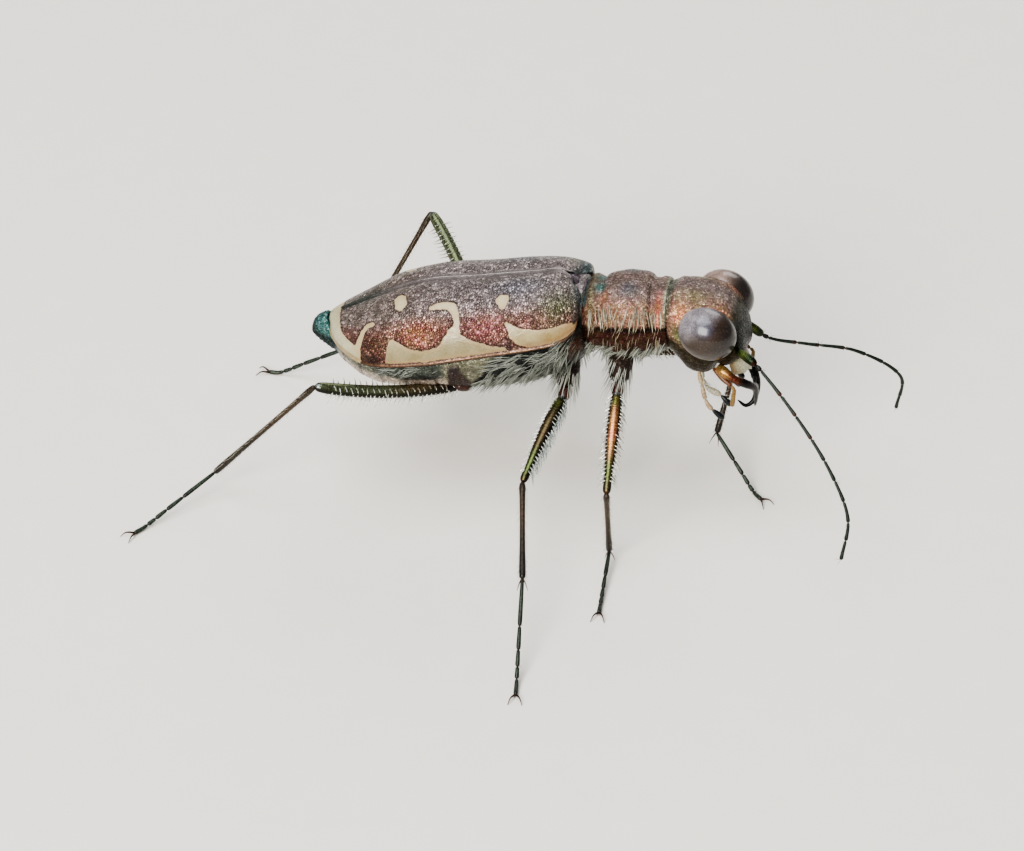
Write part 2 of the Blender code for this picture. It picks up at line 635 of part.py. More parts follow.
def main():
    clear_scene()
    materials = make_materials()
    body, head = frames()
    cutters = make_legs(materials, body)
    make_prothorax(materials, body, cutters["prothorax"])
    make_trunk(materials, body, cutters)
    make_wing_cases(materials, body)
    make_object("scutellum", scutellum_shape(0), materials["bronze"], body)
    make_head(materials, head)
    make_mouth(materials, head)
    make_antennae(materials, head)
    legs = [obj for obj in bpy.data.objects if obj.type == "MESH" and obj.parent is None]
    centre_on_floor([body, *legs])


main()
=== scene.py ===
"""A life-size tiger beetle about 13 mm long, standing on a pale floor in soft light.

Shapes are worked out in millimetres in two frames, as in the solids: BODY lies at the base of the
wing cases, with +X to the front and +Y to the beetle's left, and HEAD lies at the neck. Each piece
is turned into metres in the model's own frame as it is made.
"""

import math

import bpy
import numpy as np
from mathutils import Matrix, Vector

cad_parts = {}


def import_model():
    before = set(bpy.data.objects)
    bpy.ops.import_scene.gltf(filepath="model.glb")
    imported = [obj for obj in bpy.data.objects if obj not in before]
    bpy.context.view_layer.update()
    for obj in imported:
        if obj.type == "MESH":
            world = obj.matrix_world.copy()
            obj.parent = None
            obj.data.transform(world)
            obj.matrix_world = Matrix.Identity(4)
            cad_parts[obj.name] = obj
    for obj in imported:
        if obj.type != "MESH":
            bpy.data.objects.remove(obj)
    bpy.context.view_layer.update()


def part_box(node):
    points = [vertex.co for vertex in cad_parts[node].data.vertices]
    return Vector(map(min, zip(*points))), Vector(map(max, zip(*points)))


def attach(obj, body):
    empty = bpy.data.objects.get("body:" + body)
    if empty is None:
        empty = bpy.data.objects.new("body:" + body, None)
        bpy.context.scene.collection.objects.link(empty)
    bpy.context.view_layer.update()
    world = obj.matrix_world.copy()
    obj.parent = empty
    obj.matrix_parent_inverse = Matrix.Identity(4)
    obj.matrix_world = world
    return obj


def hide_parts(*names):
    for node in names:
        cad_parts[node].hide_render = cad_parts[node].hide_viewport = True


MM = 0.001
RANDOM = np.random.default_rng(11)
SIDES = ("left", "right")
IDENTITY = np.eye(4)
BLACK = (0.006, 0.005, 0.005)

# How the body stands, the wing cases, the trunk, the prothorax and the head, in mm and degrees, as
# in the solids. A list of pairs gives a value at parts of a length, 0 at its front, 1 at its back.
BODY_HEIGHT = 5.75
BODY_PITCH = 5.1
BODY_ROLL = -5.6
HEAD_PLACE = (2.4, 0.0, 0.5)
HEAD_TURN = -6.9
CASE_FRONT = -0.12
CASE_LENGTH = 7.53
CASE_HALF_WIDTH = 2.15
CASE_WIDTHS = [(0, 0.5), (0.015, 0.7), (0.05, 0.81), (0.14, 0.88), (0.3, 0.94), (0.45, 0.98),
               (0.6, 1.0), (0.75, 0.94), (0.85, 0.8), (0.93, 0.57), (0.98, 0.3), (1, 0.12)]
CASE_CROWN = [(0, 1.36), (0.03, 1.52), (0.1, 1.7), (0.2, 1.66), (0.4, 1.47), (0.57, 1.34),
              (0.72, 1.02), (0.8, 0.72), (0.89, 0.36), (0.96, 0.12), (1, 0.0)]
CASE_EDGE = [(0, 0.7), (0.02, 0.45), (0.07, 0.18), (0.14, 0.04), (0.3, -0.14), (0.45, -0.32),
             (0.6, -0.5), (0.75, -0.64), (0.83, -0.68), (0.91, -0.58), (0.97, -0.48), (1, -0.42)]
CASE_FULLNESS = 2.1
CASE_THICK = 0.11
CASE_POINTS = (150, 72)
# How far the shoulder and the inner corner of the base reach, which differs a little by side.
SHOULDERS = {"left": (0.2, 0.34), "right": (0.13, 0.27)}
# Where the bead along the margin of a wing case begins, as part of the way round it.
MARGIN = 0.955
# The scutellum's half width, at mm behind the base of the wing cases, and how high it stands.
SCUTELLUM = [(0, 0.22), (0.25, 0.17), (0.42, 0.08), (0.56, 0.0), (1, 0.0)]
SCUTELLUM_HEIGHT = [(-0.06, 1.12), (0.06, 1.22), (0.18, 1.34), (0.34, 1.44), (0.55, 1.52),
                    (0.84, 1.56)]
TRUNK_FRONT = 0.0
TRUNK_BACK = -8.25
TRUNK_POINTS = (150, 80)
TRUNK_BELLY = [(0, -0.95), (0.04, -1.3), (0.12, -1.6), (0.25, -1.85), (0.42, -1.95), (0.6, -1.98),
               (0.75, -1.9), (0.87, -1.5), (0.94, -1.2), (1, -0.95)]
TRUNK_TAIL = [(0, 0), (0.86, 0.0), (0.9, 0.08), (0.95, 0.25), (1, 0.4)]
TRUNK_RISE = [(0, 0), (0.9, 0), (0.95, 0.06), (1, 0.12)]
RING_SEAMS = (-3.3, -4.25, -5.1, -5.85, -6.5, -7.1)  # where the rings of the abdomen meet
# Rings of the prothorax and the head: where along x, half width, top and bottom.
PROTHORAX = [(-0.16, 0.86, 1.0, -0.4), (-0.05, 0.93, 1.08, -0.5), (0.04, 0.99, 1.15, -0.56),
             (0.14, 1.1, 1.25, -0.64), (0.45, 1.14, 1.3, -0.76), (0.75, 1.17, 1.38, -0.84),
             (1.2, 1.21, 1.47, -0.9), (1.7, 1.2, 1.44, -0.86), (2.0, 1.13, 1.32, -0.74),
             (2.13, 1.09, 1.25, -0.68), (2.36, 1.09, 1.27, -0.64), (2.44, 1.04, 1.22, -0.6),
             (2.46, 0.9, 1.06, -0.48)]
HEAD = [(-0.4, 0.8, 0.6, -0.85), (-0.05, 0.89, 0.69, -1.05), (0.2, 0.96, 0.79, -1.25),
        (0.4, 1.0, 0.87, -1.5), (0.62, 1.03, 0.91, -1.8), (0.85, 1.05, 0.92, -1.9),
        (1.15, 1.05, 0.89, -1.88), (1.32, 1.02, 0.83, -1.75), (1.48, 0.99, 0.76, -1.54),
        (1.8, 0.92, 0.55, -1.44), (2.05, 0.84, 0.2, -1.36), (2.2, 0.74, -0.2, -1.28),
        (2.28, 0.55, -0.55, -1.16)]
# The brows follow this ellipsoid of the left side, mirrored for the right.
EYE_PLACE = (1.37, 1.1, -0.1)
EYE_SIZE = (0.82, 0.56, 0.82)
# The eye's ball: where it lies, its half sizes and how far its long axis dips to the front.
BALL_PLACE = {"left": (1.37, 1.06, -0.1), "right": (1.37, 0.97, -0.2)}
BALL_SIZE = (0.86, 0.7, 0.76)
BALL_DIP = 25
BALL_POINTS = (60, 96)
# By side: the colour of the painted sky reflection on the eye's upper part, and where its dark
# front lies.
EYE_LOOKS = {"left": ((0.27, 0.19, 0.16), 0.1, -0.1), "right": ((0.22, 0.2, 0.22), 0.3, 0.2)}

MANDIBLE_ROUTES = {
    "right": [(1.6, -0.88, -1.36), (1.85, -0.98, -1.46), (2.14, -1.02, -1.61), (2.4, -0.85, -1.82),
              (2.57, -0.55, -2.12), (2.54, -0.33, -2.55), (2.43, -0.1, -3.01)],
    "left": [(1.7, 0.64, -1.5), (1.95, 0.62, -1.75), (2.15, 0.55, -2.0), (2.31, 0.48, -2.28),
             (2.38, 0.4, -2.65), (2.32, 0.2, -3.0), (2.12, 0.05, -3.12), (1.92, -0.08, -2.88)],
}
MANDIBLE_SHAPE = [(0, 0.13), (0.08, 0.17), (0.22, 0.115), (0.33, 0.13), (0.5, 0.115), (0.8, 0.065),
                  (0.95, 0.04), (1, 0.012)]
MANDIBLE_TEETH = ((0.32, 0.3), (0.42, 0.34), (0.52, 0.36))  # part of the length, and reach
# Palps of the left side: their route, where their joints end as parts of its length, each joint's
# half thickness, and the colours of the joints and of the last one.
PALPS = {
    "maxillary_palp": dict(
        route=[(1.05, 0.95, -1.5), (1.2, 1.18, -1.88), (1.36, 1.25, -2.4), (1.79, 1.15, -2.89)],
        ends=(0, 0.22, 0.5, 0.73, 1), widths=(0.07, 0.07, 0.07, 0.095),
        colour=(0.27, 0.2, 0.12), last=(0.005, 0.007, 0.007), slot="amber"),
    "galea": dict(
        route=[(1.45, 0.85, -1.4), (1.72, 1.0, -1.6), (2.1, 1.1, -1.87), (2.08, 1.1, -2.15),
               (2.02, 1.05, -2.5)],
        ends=(0, 0.5, 1), widths=(0.07, 0.07),
        colour=(0.085, 0.027, 0.01), last=(0.16, 0.095, 0.028), slot="amber"),
    "labial_palp": dict(
        route=[(0.95, 0.38, -1.75), (1.11, 0.5, -2.25), (1.55, 0.55, -2.48), (1.85, 0.55, -2.8)],
        ends=(0, 0.2, 0.34, 0.71, 1), widths=(0.07, 0.07, 0.1, 0.095),
        colour=(0.33, 0.3, 0.22), last=(0.005, 0.007, 0.007), slot="cream"),
}
ANTENNA_ROUTES = {
    "left": [(2.05, 0.72, -0.72), (2.6, 1.15, -1.43), (3.55, 1.62, -1.8), (4.9, 2.25, -2.27),
             (6.03, 2.93, -3.4), (5.78, 3.35, -4.78)],
    "right": [(2.1, -0.7, -0.8), (2.8, -1.01, -1.1), (4.3, -1.82, -2.46), (5.27, -2.38, -3.7),
              (5.77, -2.8, -4.79), (5.64, -3.24, -5.89)],
}
# Where an antenna's eleven segments end, as parts of its length, and how it is split into pieces.
ANTENNA_ENDS = (0.0, 0.11, 0.14, 0.27, 0.37, 0.48, 0.58, 0.67, 0.76, 0.845, 0.92, 1.0)
ANTENNA_GROUPS = {"scape": (0, 1), "inner": (1, 5), "outer": (5, 11)}
# The shapes and colours of the first two segments, and of the rest.
ANTENNA_SHAPES = ([(0, 0.075), (0.25, 0.115), (0.7, 0.135), (1, 0.1)], [(0, 0.06), (1, 0.08)],
                  [(0, 0.045), (0.8, 0.058), (1, 0.07)])
ANTENNA_COLOURS = ((0.008, 0.014, 0.006), (0.008, 0.01, 0.008), (0.01, 0.015, 0.011))

# The left side's hips, and the inner ends of their coxae.
HIPS = {"front": (0.95, 1.12, -1.6), "middle": (-0.6, 1.12, -1.82), "hind": (-3.5, 1.17, -1.64)}
COXAE = {"front": (1.05, 0.45, -0.6), "middle": (-0.55, 0.35, -0.85), "hind": (-2.9, 0.3, -1.35)}
# Each leg's femur and tibia: length, heading from +X towards +Y, and lift above the level, both in
# degrees. Its tarsus has a length and a heading, and comes down to the floor.
LEGS = {
    ("front", "right"): ((3.46, -86.8, -24.5), (2.61, 86.4, -77.4), (2.8, -88.2)),
    ("middle", "right"): ((3.18, -105.2, -22.4), (3.13, -80.2, -21.3), (3.87, -83.7)),
    ("hind", "right"): ((4.52, -156.9, 9.0), (5.01, 174.3, -50.2), (3.44, -129.5)),
    ("front", "left"): ((3.46, 24.5, -11.7), (2.61, -110.8, -60.9), (2.8, -44.6)),
    ("middle", "left"): ((3.18, 119.1, 17.5), (3.13, -56.2, -79.2), (3.87, 123.8)),
    ("hind", "left"): ((4.52, 122.0, 28.0), (5.01, -149.7, -59.3), (3.44, 177.4)),
}
# How far the middle of each femur bows out of the straight line.
FEMUR_BOW = {
    ("front", "right"): (0, 0, 0.1), ("front", "left"): (0.1, 0, 0),
    ("middle", "right"): (0, 0, 0.1), ("middle", "left"): (0.1, 0, 0),
    ("hind", "right"): (0, 0, -0.22), ("hind", "left"): (0.24, 0, 0),
}
# Half thickness along each segment of a leg, at a real beetle's thickness.
COXA_SHAPE = [(0, 0.34), (0.5, 0.36), (0.85, 0.28), (1, 0.17)]
TROCHANTER_SHAPE = [(0, 0.13), (0.3, 0.2), (0.6, 0.19), (1, 0.12)]
FEMUR_SHAPE = [(0, 0.1), (0.08, 0.165), (0.3, 0.2), (0.55, 0.18), (0.85, 0.115), (0.95, 0.12),
               (1, 0.08)]
HIND_FEMUR_SHAPE = [(0, 0.12), (0.08, 0.17), (0.3, 0.19), (0.6, 0.19), (0.88, 0.175), (0.96, 0.15),
                    (1, 0.1)]
TIBIA_SHAPE = [(0, 0.07), (0.06, 0.1), (0.15, 0.085), (0.6, 0.08), (0.92, 0.1), (1, 0.09)]
TARSUS_SHAPE = [(0, 0.045), (0.15, 0.056), (0.8, 0.068), (1, 0.06)]
TARSUS_ENDS = (0.0, 0.4, 0.6, 0.74, 0.84, 1.0)
CLAW = 0.45
SETA_WHITE = (0.78, 0.78, 0.7)

# The wing cases' cream marks, each a run of discs: mm along from the base, part of the way round
# from the suture to the margin, and radius in mm. ROUND turns that part into mm.
ROUND = 3.0
MARKS = {
    "shoulder": [(0.2, 0.93, 0.16), (0.45, 0.885, 0.3), (0.8, 0.89, 0.31), (1.15, 0.875, 0.29),
                 (1.45, 0.835, 0.25), (1.66, 0.79, 0.19), (1.8, 0.72, 0.09), (1.94, 0.68, 0.04)],
    "front_dot": [(2.09, 0.44, 0.2), (2.06, 0.5, 0.1)],
    "rear_dot": [(5.19, 0.285, 0.17), (5.13, 0.36, 0.18), (5.1, 0.42, 0.05)],
    "hook": [(4.17, 0.445, 0.06), (4.0, 0.435, 0.1), (3.75, 0.435, 0.12), (3.56, 0.46, 0.13),
             (3.43, 0.53, 0.1), (3.38, 0.6, 0.085), (3.38, 0.66, 0.1), (3.45, 0.72, 0.2),
             (3.5, 0.8, 0.32)],
    "tip_knob": [(5.98, 0.525, 0.085), (6.13, 0.535, 0.08), (6.24, 0.6, 0.072), (6.3, 0.68, 0.07),
                 (6.37, 0.78, 0.09), (6.45, 0.88, 0.15)],
}
# The long band beside the margin: mm along, and how far round its upper edge lies.
BAND_EDGE = [(0, 1.3), (1.7, 1.2), (1.88, 0.96), (1.98, 0.915), (2.25, 0.895), (2.66, 0.84),
             (3.05, 0.78), (3.3, 0.72), (3.6, 0.72), (3.78, 0.78), (3.86, 0.815), (4.05, 0.835),
             (4.45, 0.84), (4.84, 0.8), (5.12, 0.74), (5.33, 0.71), (5.42, 0.76), (5.5, 0.93),
             (5.6, 1.2), (7.6, 1.3)]
# The mark round the tip: part of the way round, and where along it begins.
TIP_EDGE = [(0, 7.2), (0.4, 7.12), (0.66, 6.98), (0.74, 6.75), (0.8, 6.45), (0.86, 6.31),
            (1.1, 6.28)]

# How many rings a joint and levels a hair have, and how many sides a femur has.
JOINT_RINGS = 14
HAIR_LEVELS = 3
FEMUR_SIDES = 24

# The camera's turn to the right and its height in degrees, the point it faces and its distance in
# mm; the lights' distance and half the floor's width in metres.
AZIMUTH, ELEVATION = 9.88, 38.0
AIM = (-2.138, -0.571, 2.0)
FAR_OFF = 120.0
LENS, SENSOR = 143.44, 36.0
LIGHTS_OFF = 0.3
FLOOR_HALF = 1.5


def smooth(keys, s):
    """The values at s, an array or a number, on a smooth curve through (place, value) pairs."""
    places = np.array([key[0] for key in keys], float)
    values = np.array([key[1] for key in keys], float)
    last = len(keys) - 1
    low, high = np.maximum(np.arange(last + 1) - 1, 0), np.minimum(np.arange(last + 1) + 1, last)
    slopes = (values[high] - values[low]) / (places[high] - places[low])
    s = np.clip(np.asarray(s, float), places[0], places[-1])
    i = np.clip(np.searchsorted(places, s) - 1, 0, last - 1)
    span = places[i + 1] - places[i]
    t = (s - places[i]) / span
    rise, turn = 3 * t**2 - 2 * t**3, t * (1 - t)
    bend = slopes[i] * (1 - t) - slopes[i + 1] * t
    return values[i] + (values[i + 1] - values[i]) * rise + span * turn * bend


def steps_of(points):
    return np.linalg.norm(np.diff(np.asarray(points, float), axis=0), axis=1)


def length_of(points):
    return steps_of(points).sum()


def distances(points):
    """How far each point of a route lies from its start, measured along it."""
    return np.concatenate([[0], np.cumsum(steps_of(points))])


def smooth_route(points, count):
    """count points on a smooth curve through the given ones, spread evenly along its length."""
    points = np.array(points, float)
    lengths = distances(points)
    at = np.linspace(0, lengths[-1], count)
    return np.stack([smooth(list(zip(lengths, points[:, k])), at) for k in range(3)], axis=1)


def along_route(points, t):
    """The places at the parts t of a route's length."""
    points, lengths = np.asarray(points, float), distances(points)
    at = np.asarray(t) * lengths[-1]
    return np.stack([np.interp(at, lengths, points[:, k]) for k in range(3)], axis=-1)


def unit(vectors):
    return vectors / np.maximum(np.linalg.norm(vectors, axis=-1, keepdims=True), 1e-9)


def bell(x, centre, width):
    """1 at the centre, falling smoothly to 0 over about twice the width."""
    return np.exp(-(((x - centre) / width) ** 2))


def rises(x, low, high):
    """0 below low, 1 above high, and smooth between."""
    t = np.clip((x - low) / (high - low), 0, 1)
    return t * t * (3 - 2 * t)


def blend(one, two, part):
    """Colour one where part is 0, two where it is 1."""
    part = np.asarray(part)[..., None]
    return np.asarray(one) * (1 - part) + np.asarray(two) * part


def layered(tint, *layers):
    """A colour with others laid over it in turn, each given with how much of it shows."""
    for colour, part in layers:
        tint = blend(tint, colour, part)
    return tint


def mirror(points, side):
    """Points of the left side, or the same for the right."""
    made = np.array(points, float)
    if side == "right":
        made[..., 1] *= -1
    return made


def heading(turn, lift):
    turn, lift = math.radians(turn), math.radians(lift)
    return np.array([math.cos(turn) * math.cos(lift), math.sin(turn) * math.cos(lift),
                     math.sin(lift)])


# Frames, as 4 x 4 arrays from millimetres to millimetres.

def as_array(matrix):
    return np.array([list(row) for row in matrix])


BODY = as_array(
    Matrix.Translation((0, 0, BODY_HEIGHT))
    @ Matrix.Rotation(math.radians(-BODY_PITCH), 4, "Y")
    @ Matrix.Rotation(math.radians(BODY_ROLL), 4, "X")
)
HEAD_FRAME = BODY @ as_array(
    Matrix.Translation(HEAD_PLACE) @ Matrix.Rotation(math.radians(HEAD_TURN), 4, "Z"))
SHIFT = np.zeros(3)  # set by main() from where the solids lie


def moved(points, frame):
    return points @ frame[:3, :3].T + frame[:3, 3]


# Meshes.

def grid_faces(rows, columns, wrap):
    """The quads of a grid of points, numbered row by row."""
    i = np.arange(rows - 1)[:, None]
    j = np.arange(columns if wrap else columns - 1)[None, :]
    k = (j + 1) % columns
    near, far = i * columns, (i + 1) * columns
    corners = np.broadcast_arrays(near + j, near + k, far + k, far + j)
    return np.stack(corners, axis=-1).reshape(-1, 4)


def closed_faces(rows, columns):
    """The faces of a closed tube: its grid's, then a fan over each end round a point of its own."""
    last, base = rows * columns, (rows - 1) * columns
    after = [(j + 1) % columns for j in range(columns)]
    faces = grid_faces(rows, columns, True).tolist()
    faces += [(last, after[j], j) for j in range(columns)]
    return faces + [(last + 1, base + j, base + after[j]) for j in range(columns)]


def plate_faces(rows, columns):
    """The faces of a plate: its outer grid's, its inner grid's, and the rim between them."""
    count = rows * columns
    faces = grid_faces(rows, columns, False)
    numbers = np.arange(count).reshape(rows, columns)
    border = [*numbers[:, 0], *numbers[-1, 1:], *numbers[-2::-1, -1], *numbers[0, -2:0:-1]]
    rim = [(a, b, b + count, a + count) for a, b in zip(border, border[1:] + border[:1])]
    return [*faces.tolist(), *(faces[:, ::-1] + count).tolist(), *rim]


def grid_normals(grid, wrap):
    """Outward normals of a grid of points that goes round an axis."""
    along = np.gradient(grid, axis=0)
    if wrap:
        around = np.roll(grid, -1, axis=1) - np.roll(grid, 1, axis=1)
    else:
        around = np.gradient(grid, axis=1)
    made = unit(np.cross(along, around))
    outward = grid - grid.mean(axis=(0, 1))
    return made if (made * outward).sum() > 0 else -made


class Builder:
    """Gathers points, faces and the values carried by the points, for one piece."""

    def __init__(self):
        self.points, self.faces, self.values, self.count = [], [], {}, 0

    def add(self, points, faces, **values):
        points = np.asarray(points, float).reshape(-1, 3)
        self.points.append(points)
        self.faces += [tuple(int(v) + self.count for v in face) for face in faces]
        for name, value in values.items():
            value = np.asarray(value, float)
            wide = value if value.ndim > 1 else np.broadcast_to(value, (len(points),))
            wide = wide.reshape(len(points), -1)
            earlier = [np.zeros((self.count, wide.shape[1]))] if self.count else []
            self.values.setdefault(name, earlier).append(wide)
        for name in set(self.values) - set(values):
            self.values[name].append(np.zeros((len(points), self.values[name][0].shape[1])))
        self.count += len(points)

    def add_tube(self, points, radii, sides, **values):
        """A closed tube. A value is given per point, or per point and side."""
        rings = tube_rings(points, radii, sides)
        rows = len(rings)
        shared = {}
        for name, value in values.items():
            value = np.asarray(value, float)
            if value.ndim == 2:
                value = np.repeat(value[:, None], sides, axis=1)
            flat = value.reshape(rows * sides, -1)
            shared[name] = np.concatenate([flat, flat[:1], flat[-1:]])
        places = np.concatenate([rings.reshape(-1, 3), [points[0], points[-1]]])
        self.add(places, closed_faces(rows, sides), **shared)

    def add_thorn(self, points, count, ends, sides, colour):
        """A bare spine through the points, with its half thicknesses at its root and its tip."""
        self.add_tube(smooth_route(points, count), np.linspace(*ends, count), sides,
                      tint=np.tile(colour, (count, 1)), run=np.zeros((count, 1)))

    def finish(self, name, frame, material, replaced=()):
        """Makes the piece, in metres in the model's frame, in place of the solids it replaces."""
        points = moved(np.concatenate(self.points), frame) + SHIFT
        mesh = bpy.data.meshes.new(name)
        mesh.from_pydata((points * MM).tolist(), [], self.faces)
        for key, parts in self.values.items():
            values = np.concatenate(parts)
            if key == "bake":
                loops = np.empty(len(mesh.loops), int)
                mesh.loops.foreach_get("vertex_index", loops)
                mesh.uv_layers.new(name="OFBake").data.foreach_set("uv", values[loops].ravel())
            elif values.shape[1] == 3:
                colours = np.concatenate([values, np.ones((len(values), 1))], axis=1)
                layer = mesh.color_attributes.new(key, "FLOAT_COLOR", "POINT")
                layer.data.foreach_set("color", np.clip(colours, 0, 1).ravel())
            else:
                layer = mesh.attributes.new(key, "FLOAT", "POINT")
                layer.data.foreach_set("value", values.ravel())
        mesh.materials.append(material)
        mesh.shade_smooth()
        obj = bpy.data.objects.new(name, mesh)
        bpy.context.scene.collection.objects.link(obj)
        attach(obj, "root")
        if replaced:
            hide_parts(*replaced)
        return obj


def tube_rings(points, radii, sides):
    """Rings square to a route, with no twist between them."""
    points = np.asarray(points, float)
    radii = np.broadcast_to(np.asarray(radii, float), (len(points),))
    ahead = unit(np.gradient(points, axis=0))
    side = np.cross(ahead[0], [0, 0, 1] if abs(ahead[0][2]) < 0.9 else [1, 0, 0])
    turns = np.linspace(0, 2 * math.pi, sides, endpoint=False)
    rings = []
    for point, radius, axis in zip(points, radii, ahead):
        side = unit(side - axis * side.dot(axis))
        around = np.outer(np.cos(turns), side) + np.outer(np.sin(turns), np.cross(axis, side))
        rings.append(point + radius * around)
    return np.array(rings)


def rounded(shape, total, count):
    """Places along a segment and half thicknesses there, drawn in at both ends to round them."""
    t = (1 - np.cos(np.linspace(0, math.pi, count))) / 2
    radii = smooth(shape, t)
    for end, from_end in ((radii[0], t * total), (radii[-1], (1 - t) * total)):
        part = np.clip(from_end / max(end, 1e-6), 0, 1)
        radii = radii * np.sqrt(np.clip(1 - (1 - part) ** 2, 0.04, 1))
    return t, radii


def joint(points, start, end, shape):
    """One joint of a limb between two parts of its length, as JOINT_RINGS rings.

    It gives the places, their half thicknesses, how far along the joint they lie from 0 to 1, and
    how far along the limb in mm.
    """
    total = length_of(points)
    t, radii = rounded(shape, (end - start) * total, JOINT_RINGS)
    at = start + (end - start) * t
    return along_route(points, at), radii, t, (at * total)[:, None]


# Hairs.

def add_hairs(builder, roots, directions, lengths, thick, colour, bend=(0, 0, 0), bake=None):
    """Thin three-sided tapering hairs, as one array of points and faces."""
    roots, directions = np.asarray(roots, float), unit(np.asarray(directions, float))
    count, levels = len(roots), HAIR_LEVELS
    lengths = np.broadcast_to(np.asarray(lengths, float), (count,))
    bend = np.broadcast_to(bend, (count, 3))
    t = np.linspace(0, 1, levels + 1)
    spine = roots[:, None] + directions[:, None] * (lengths[:, None] * t)[..., None]
    spine = spine + bend[:, None] * (lengths[:, None] * t**2)[..., None]
    helper = np.where(np.abs(directions[:, 2:3]) < 0.9, [[0, 0, 1.0]], [[1.0, 0, 0]])
    side = unit(np.cross(directions, helper))
    other = np.cross(directions, side)
    radii = thick * (1 - t[:-1] ** 1.5 * 0.7)
    turns = np.array([0, 2, 4]) * math.pi / 3
    ring = side[:, None, None] * np.cos(turns)[:, None]
    ring = ring + other[:, None, None] * np.sin(turns)[:, None]
    body = spine[:, :-1, None] + ring * radii[None, :, None, None]
    per = 3 * levels + 1
    points = np.concatenate([body.reshape(count, -1, 3), spine[:, -1:]], axis=1)
    faces = [(low + j, low + (j + 1) % 3, low + 3 + (j + 1) % 3, low + 3 + j)
             for low in range(0, 3 * levels - 3, 3) for j in range(3)]
    top = 3 * (levels - 1)
    ends = [(top + j, top + (j + 1) % 3, per - 1) for j in range(3)]
    starts = (np.arange(count) * per)[:, None, None]
    every = (np.array(faces)[None] + starts).reshape(-1, 4).tolist()
    every += (np.array(ends)[None] + starts).reshape(-1, 3).tolist()
    # Each hair grows darker towards its root: painted shade.
    shade = 0.4 + 0.7 * np.append(np.repeat(t[:-1], 3), 1.0)
    tints = np.broadcast_to(colour, (count, 3))[:, None] * shade[:, None]
    values = {"tint": tints.reshape(-1, 3)}
    if bake is not None:
        patch = np.tile([[0, 0], [0.0015, 0], [0.0015, 0.003]], (levels, 1))
        patch = np.concatenate([patch, [[0, 0.003]]])
        values["bake"] = (bake[:, None] + patch[None]).reshape(-1, 2)
    builder.add(points.reshape(-1, 3), every, **values)


def sample(grid, normals, rows, columns):
    """Points, normals and backward directions at fractional rows and columns of a grid."""
    i = np.clip(rows.astype(int), 0, grid.shape[0] - 2)
    j = columns.astype(int) % grid.shape[1]
    k = (j + 1) % grid.shape[1]
    a, b = (rows - i)[:, None], (columns - columns.astype(int))[:, None]
    near, far = grid[i, j] * (1 - b) + grid[i, k] * b, grid[i + 1, j] * (1 - b) + grid[i + 1, k] * b
    return near * (1 - a) + far * a, unit(normals[i, j]), unit(grid[i + 1, j] - grid[i, j])


# The wing cases.

def case_grid(side):
    """The outer face of one wing case, from base to tip and from the suture to the margin."""
    rows, columns = CASE_POINTS
    s = (1 - np.cos(np.linspace(0, math.pi, rows))) / 2
    s = 0.5 * s + 0.5 * np.linspace(0, 1, rows)
    width = CASE_HALF_WIDTH * smooth(CASE_WIDTHS, s)
    crown, edge = smooth(CASE_CROWN, s), smooth(CASE_EDGE, s)
    fine = np.radians(np.linspace(0, 90, 721))
    across, up = np.sin(fine) ** (2 / CASE_FULLNESS), np.cos(fine) ** (2 / CASE_FULLNESS)
    grid = np.zeros((rows, columns, 3))
    around = np.linspace(0, 1, columns)
    for i in range(rows):
        y, z = width[i] * across, edge[i] + (crown[i] - edge[i]) * up
        lengths = np.concatenate([[0], np.cumsum(np.hypot(np.diff(y), np.diff(z)))])
        at = around * lengths[-1]
        grid[i, :, 0] = CASE_FRONT - CASE_LENGTH * s[i]
        grid[i, :, 1] = np.interp(at, lengths, y)
        grid[i, :, 2] = np.interp(at, lengths, z)
    along = np.broadcast_to((CASE_LENGTH * s)[:, None], (rows, columns))
    around = np.broadcast_to(around[None], (rows, columns))
    # The inner corner of the base lies behind the shoulder.
    reach, corner = SHOULDERS[side]
    grid[..., 0] += bell(along, 0.0, 0.7) * (reach - corner * (1 - rises(around, 0.0, 0.6)))
    dip = 0.13 * bell(around, 0, 0.13) * rises(along, 0.3, 1.2)
    grid[..., 2] -= dip * (1 - rises(along, 5.5, 7.2))
    # The seam between the two, which widens at the base round the scutellum.
    notch = smooth(SCUTELLUM, -grid[..., 0]) * (1 - rises(around, 0.0, 0.35))
    grid[..., 1] += 0.012 + notch
    normals = grid_normals(grid, False)
    # The rolled edges along the margin, the suture and the base.
    bead = 0.035 * rises(around, 0.966, 0.974) * rises(along, 0.1, 0.8)
    bead = bead * (1 - rises(around, 0.99, 1.0))
    bead = bead - 0.02 * bell(around, 0.958, 0.008) * rises(along, 0.1, 0.8)
    bead = bead + 0.025 * bell(around, 0.012, 0.009) - 0.02 * bell(around, 0.032, 0.008)
    bead = bead - 0.05 * bell(along, 0.0, 0.06) + 0.02 * bell(along, 0.13, 0.06)
    swell = 0.05 * bell(along, 0.55, 0.45) * bell(around, 0.6, 0.18)
    swell = swell + 0.012 * np.sin(along * 2.1 + 1) * np.sin(around * 9 + along)
    grid = grid + normals * (bead + swell)[..., None]
    return mirror(grid, side), along, around


def mark_distance(along, around):
    """How far a place on a wing case lies outside the cream marks, in mm, below 0 inside them."""
    place = np.stack([along, around * ROUND], axis=-1)
    found = (smooth(BAND_EDGE, along) - around) * ROUND * 0.8
    found = np.minimum(found, (smooth(TIP_EDGE, around) - along) * 0.9)
    for discs in MARKS.values():
        for (a0, r0, w0), (a1, r1, w1) in zip(discs, discs[1:]):
            start, end = np.array([a0, r0 * ROUND]), np.array([a1, r1 * ROUND])
            run = end - start
            t = np.clip(((place - start) @ run) / (run @ run), 0, 1)
            gap = np.linalg.norm(place - start - t[..., None] * run, axis=-1) - (w0 + (w1 - w0) * t)
            found = np.minimum(found, gap)
    return found


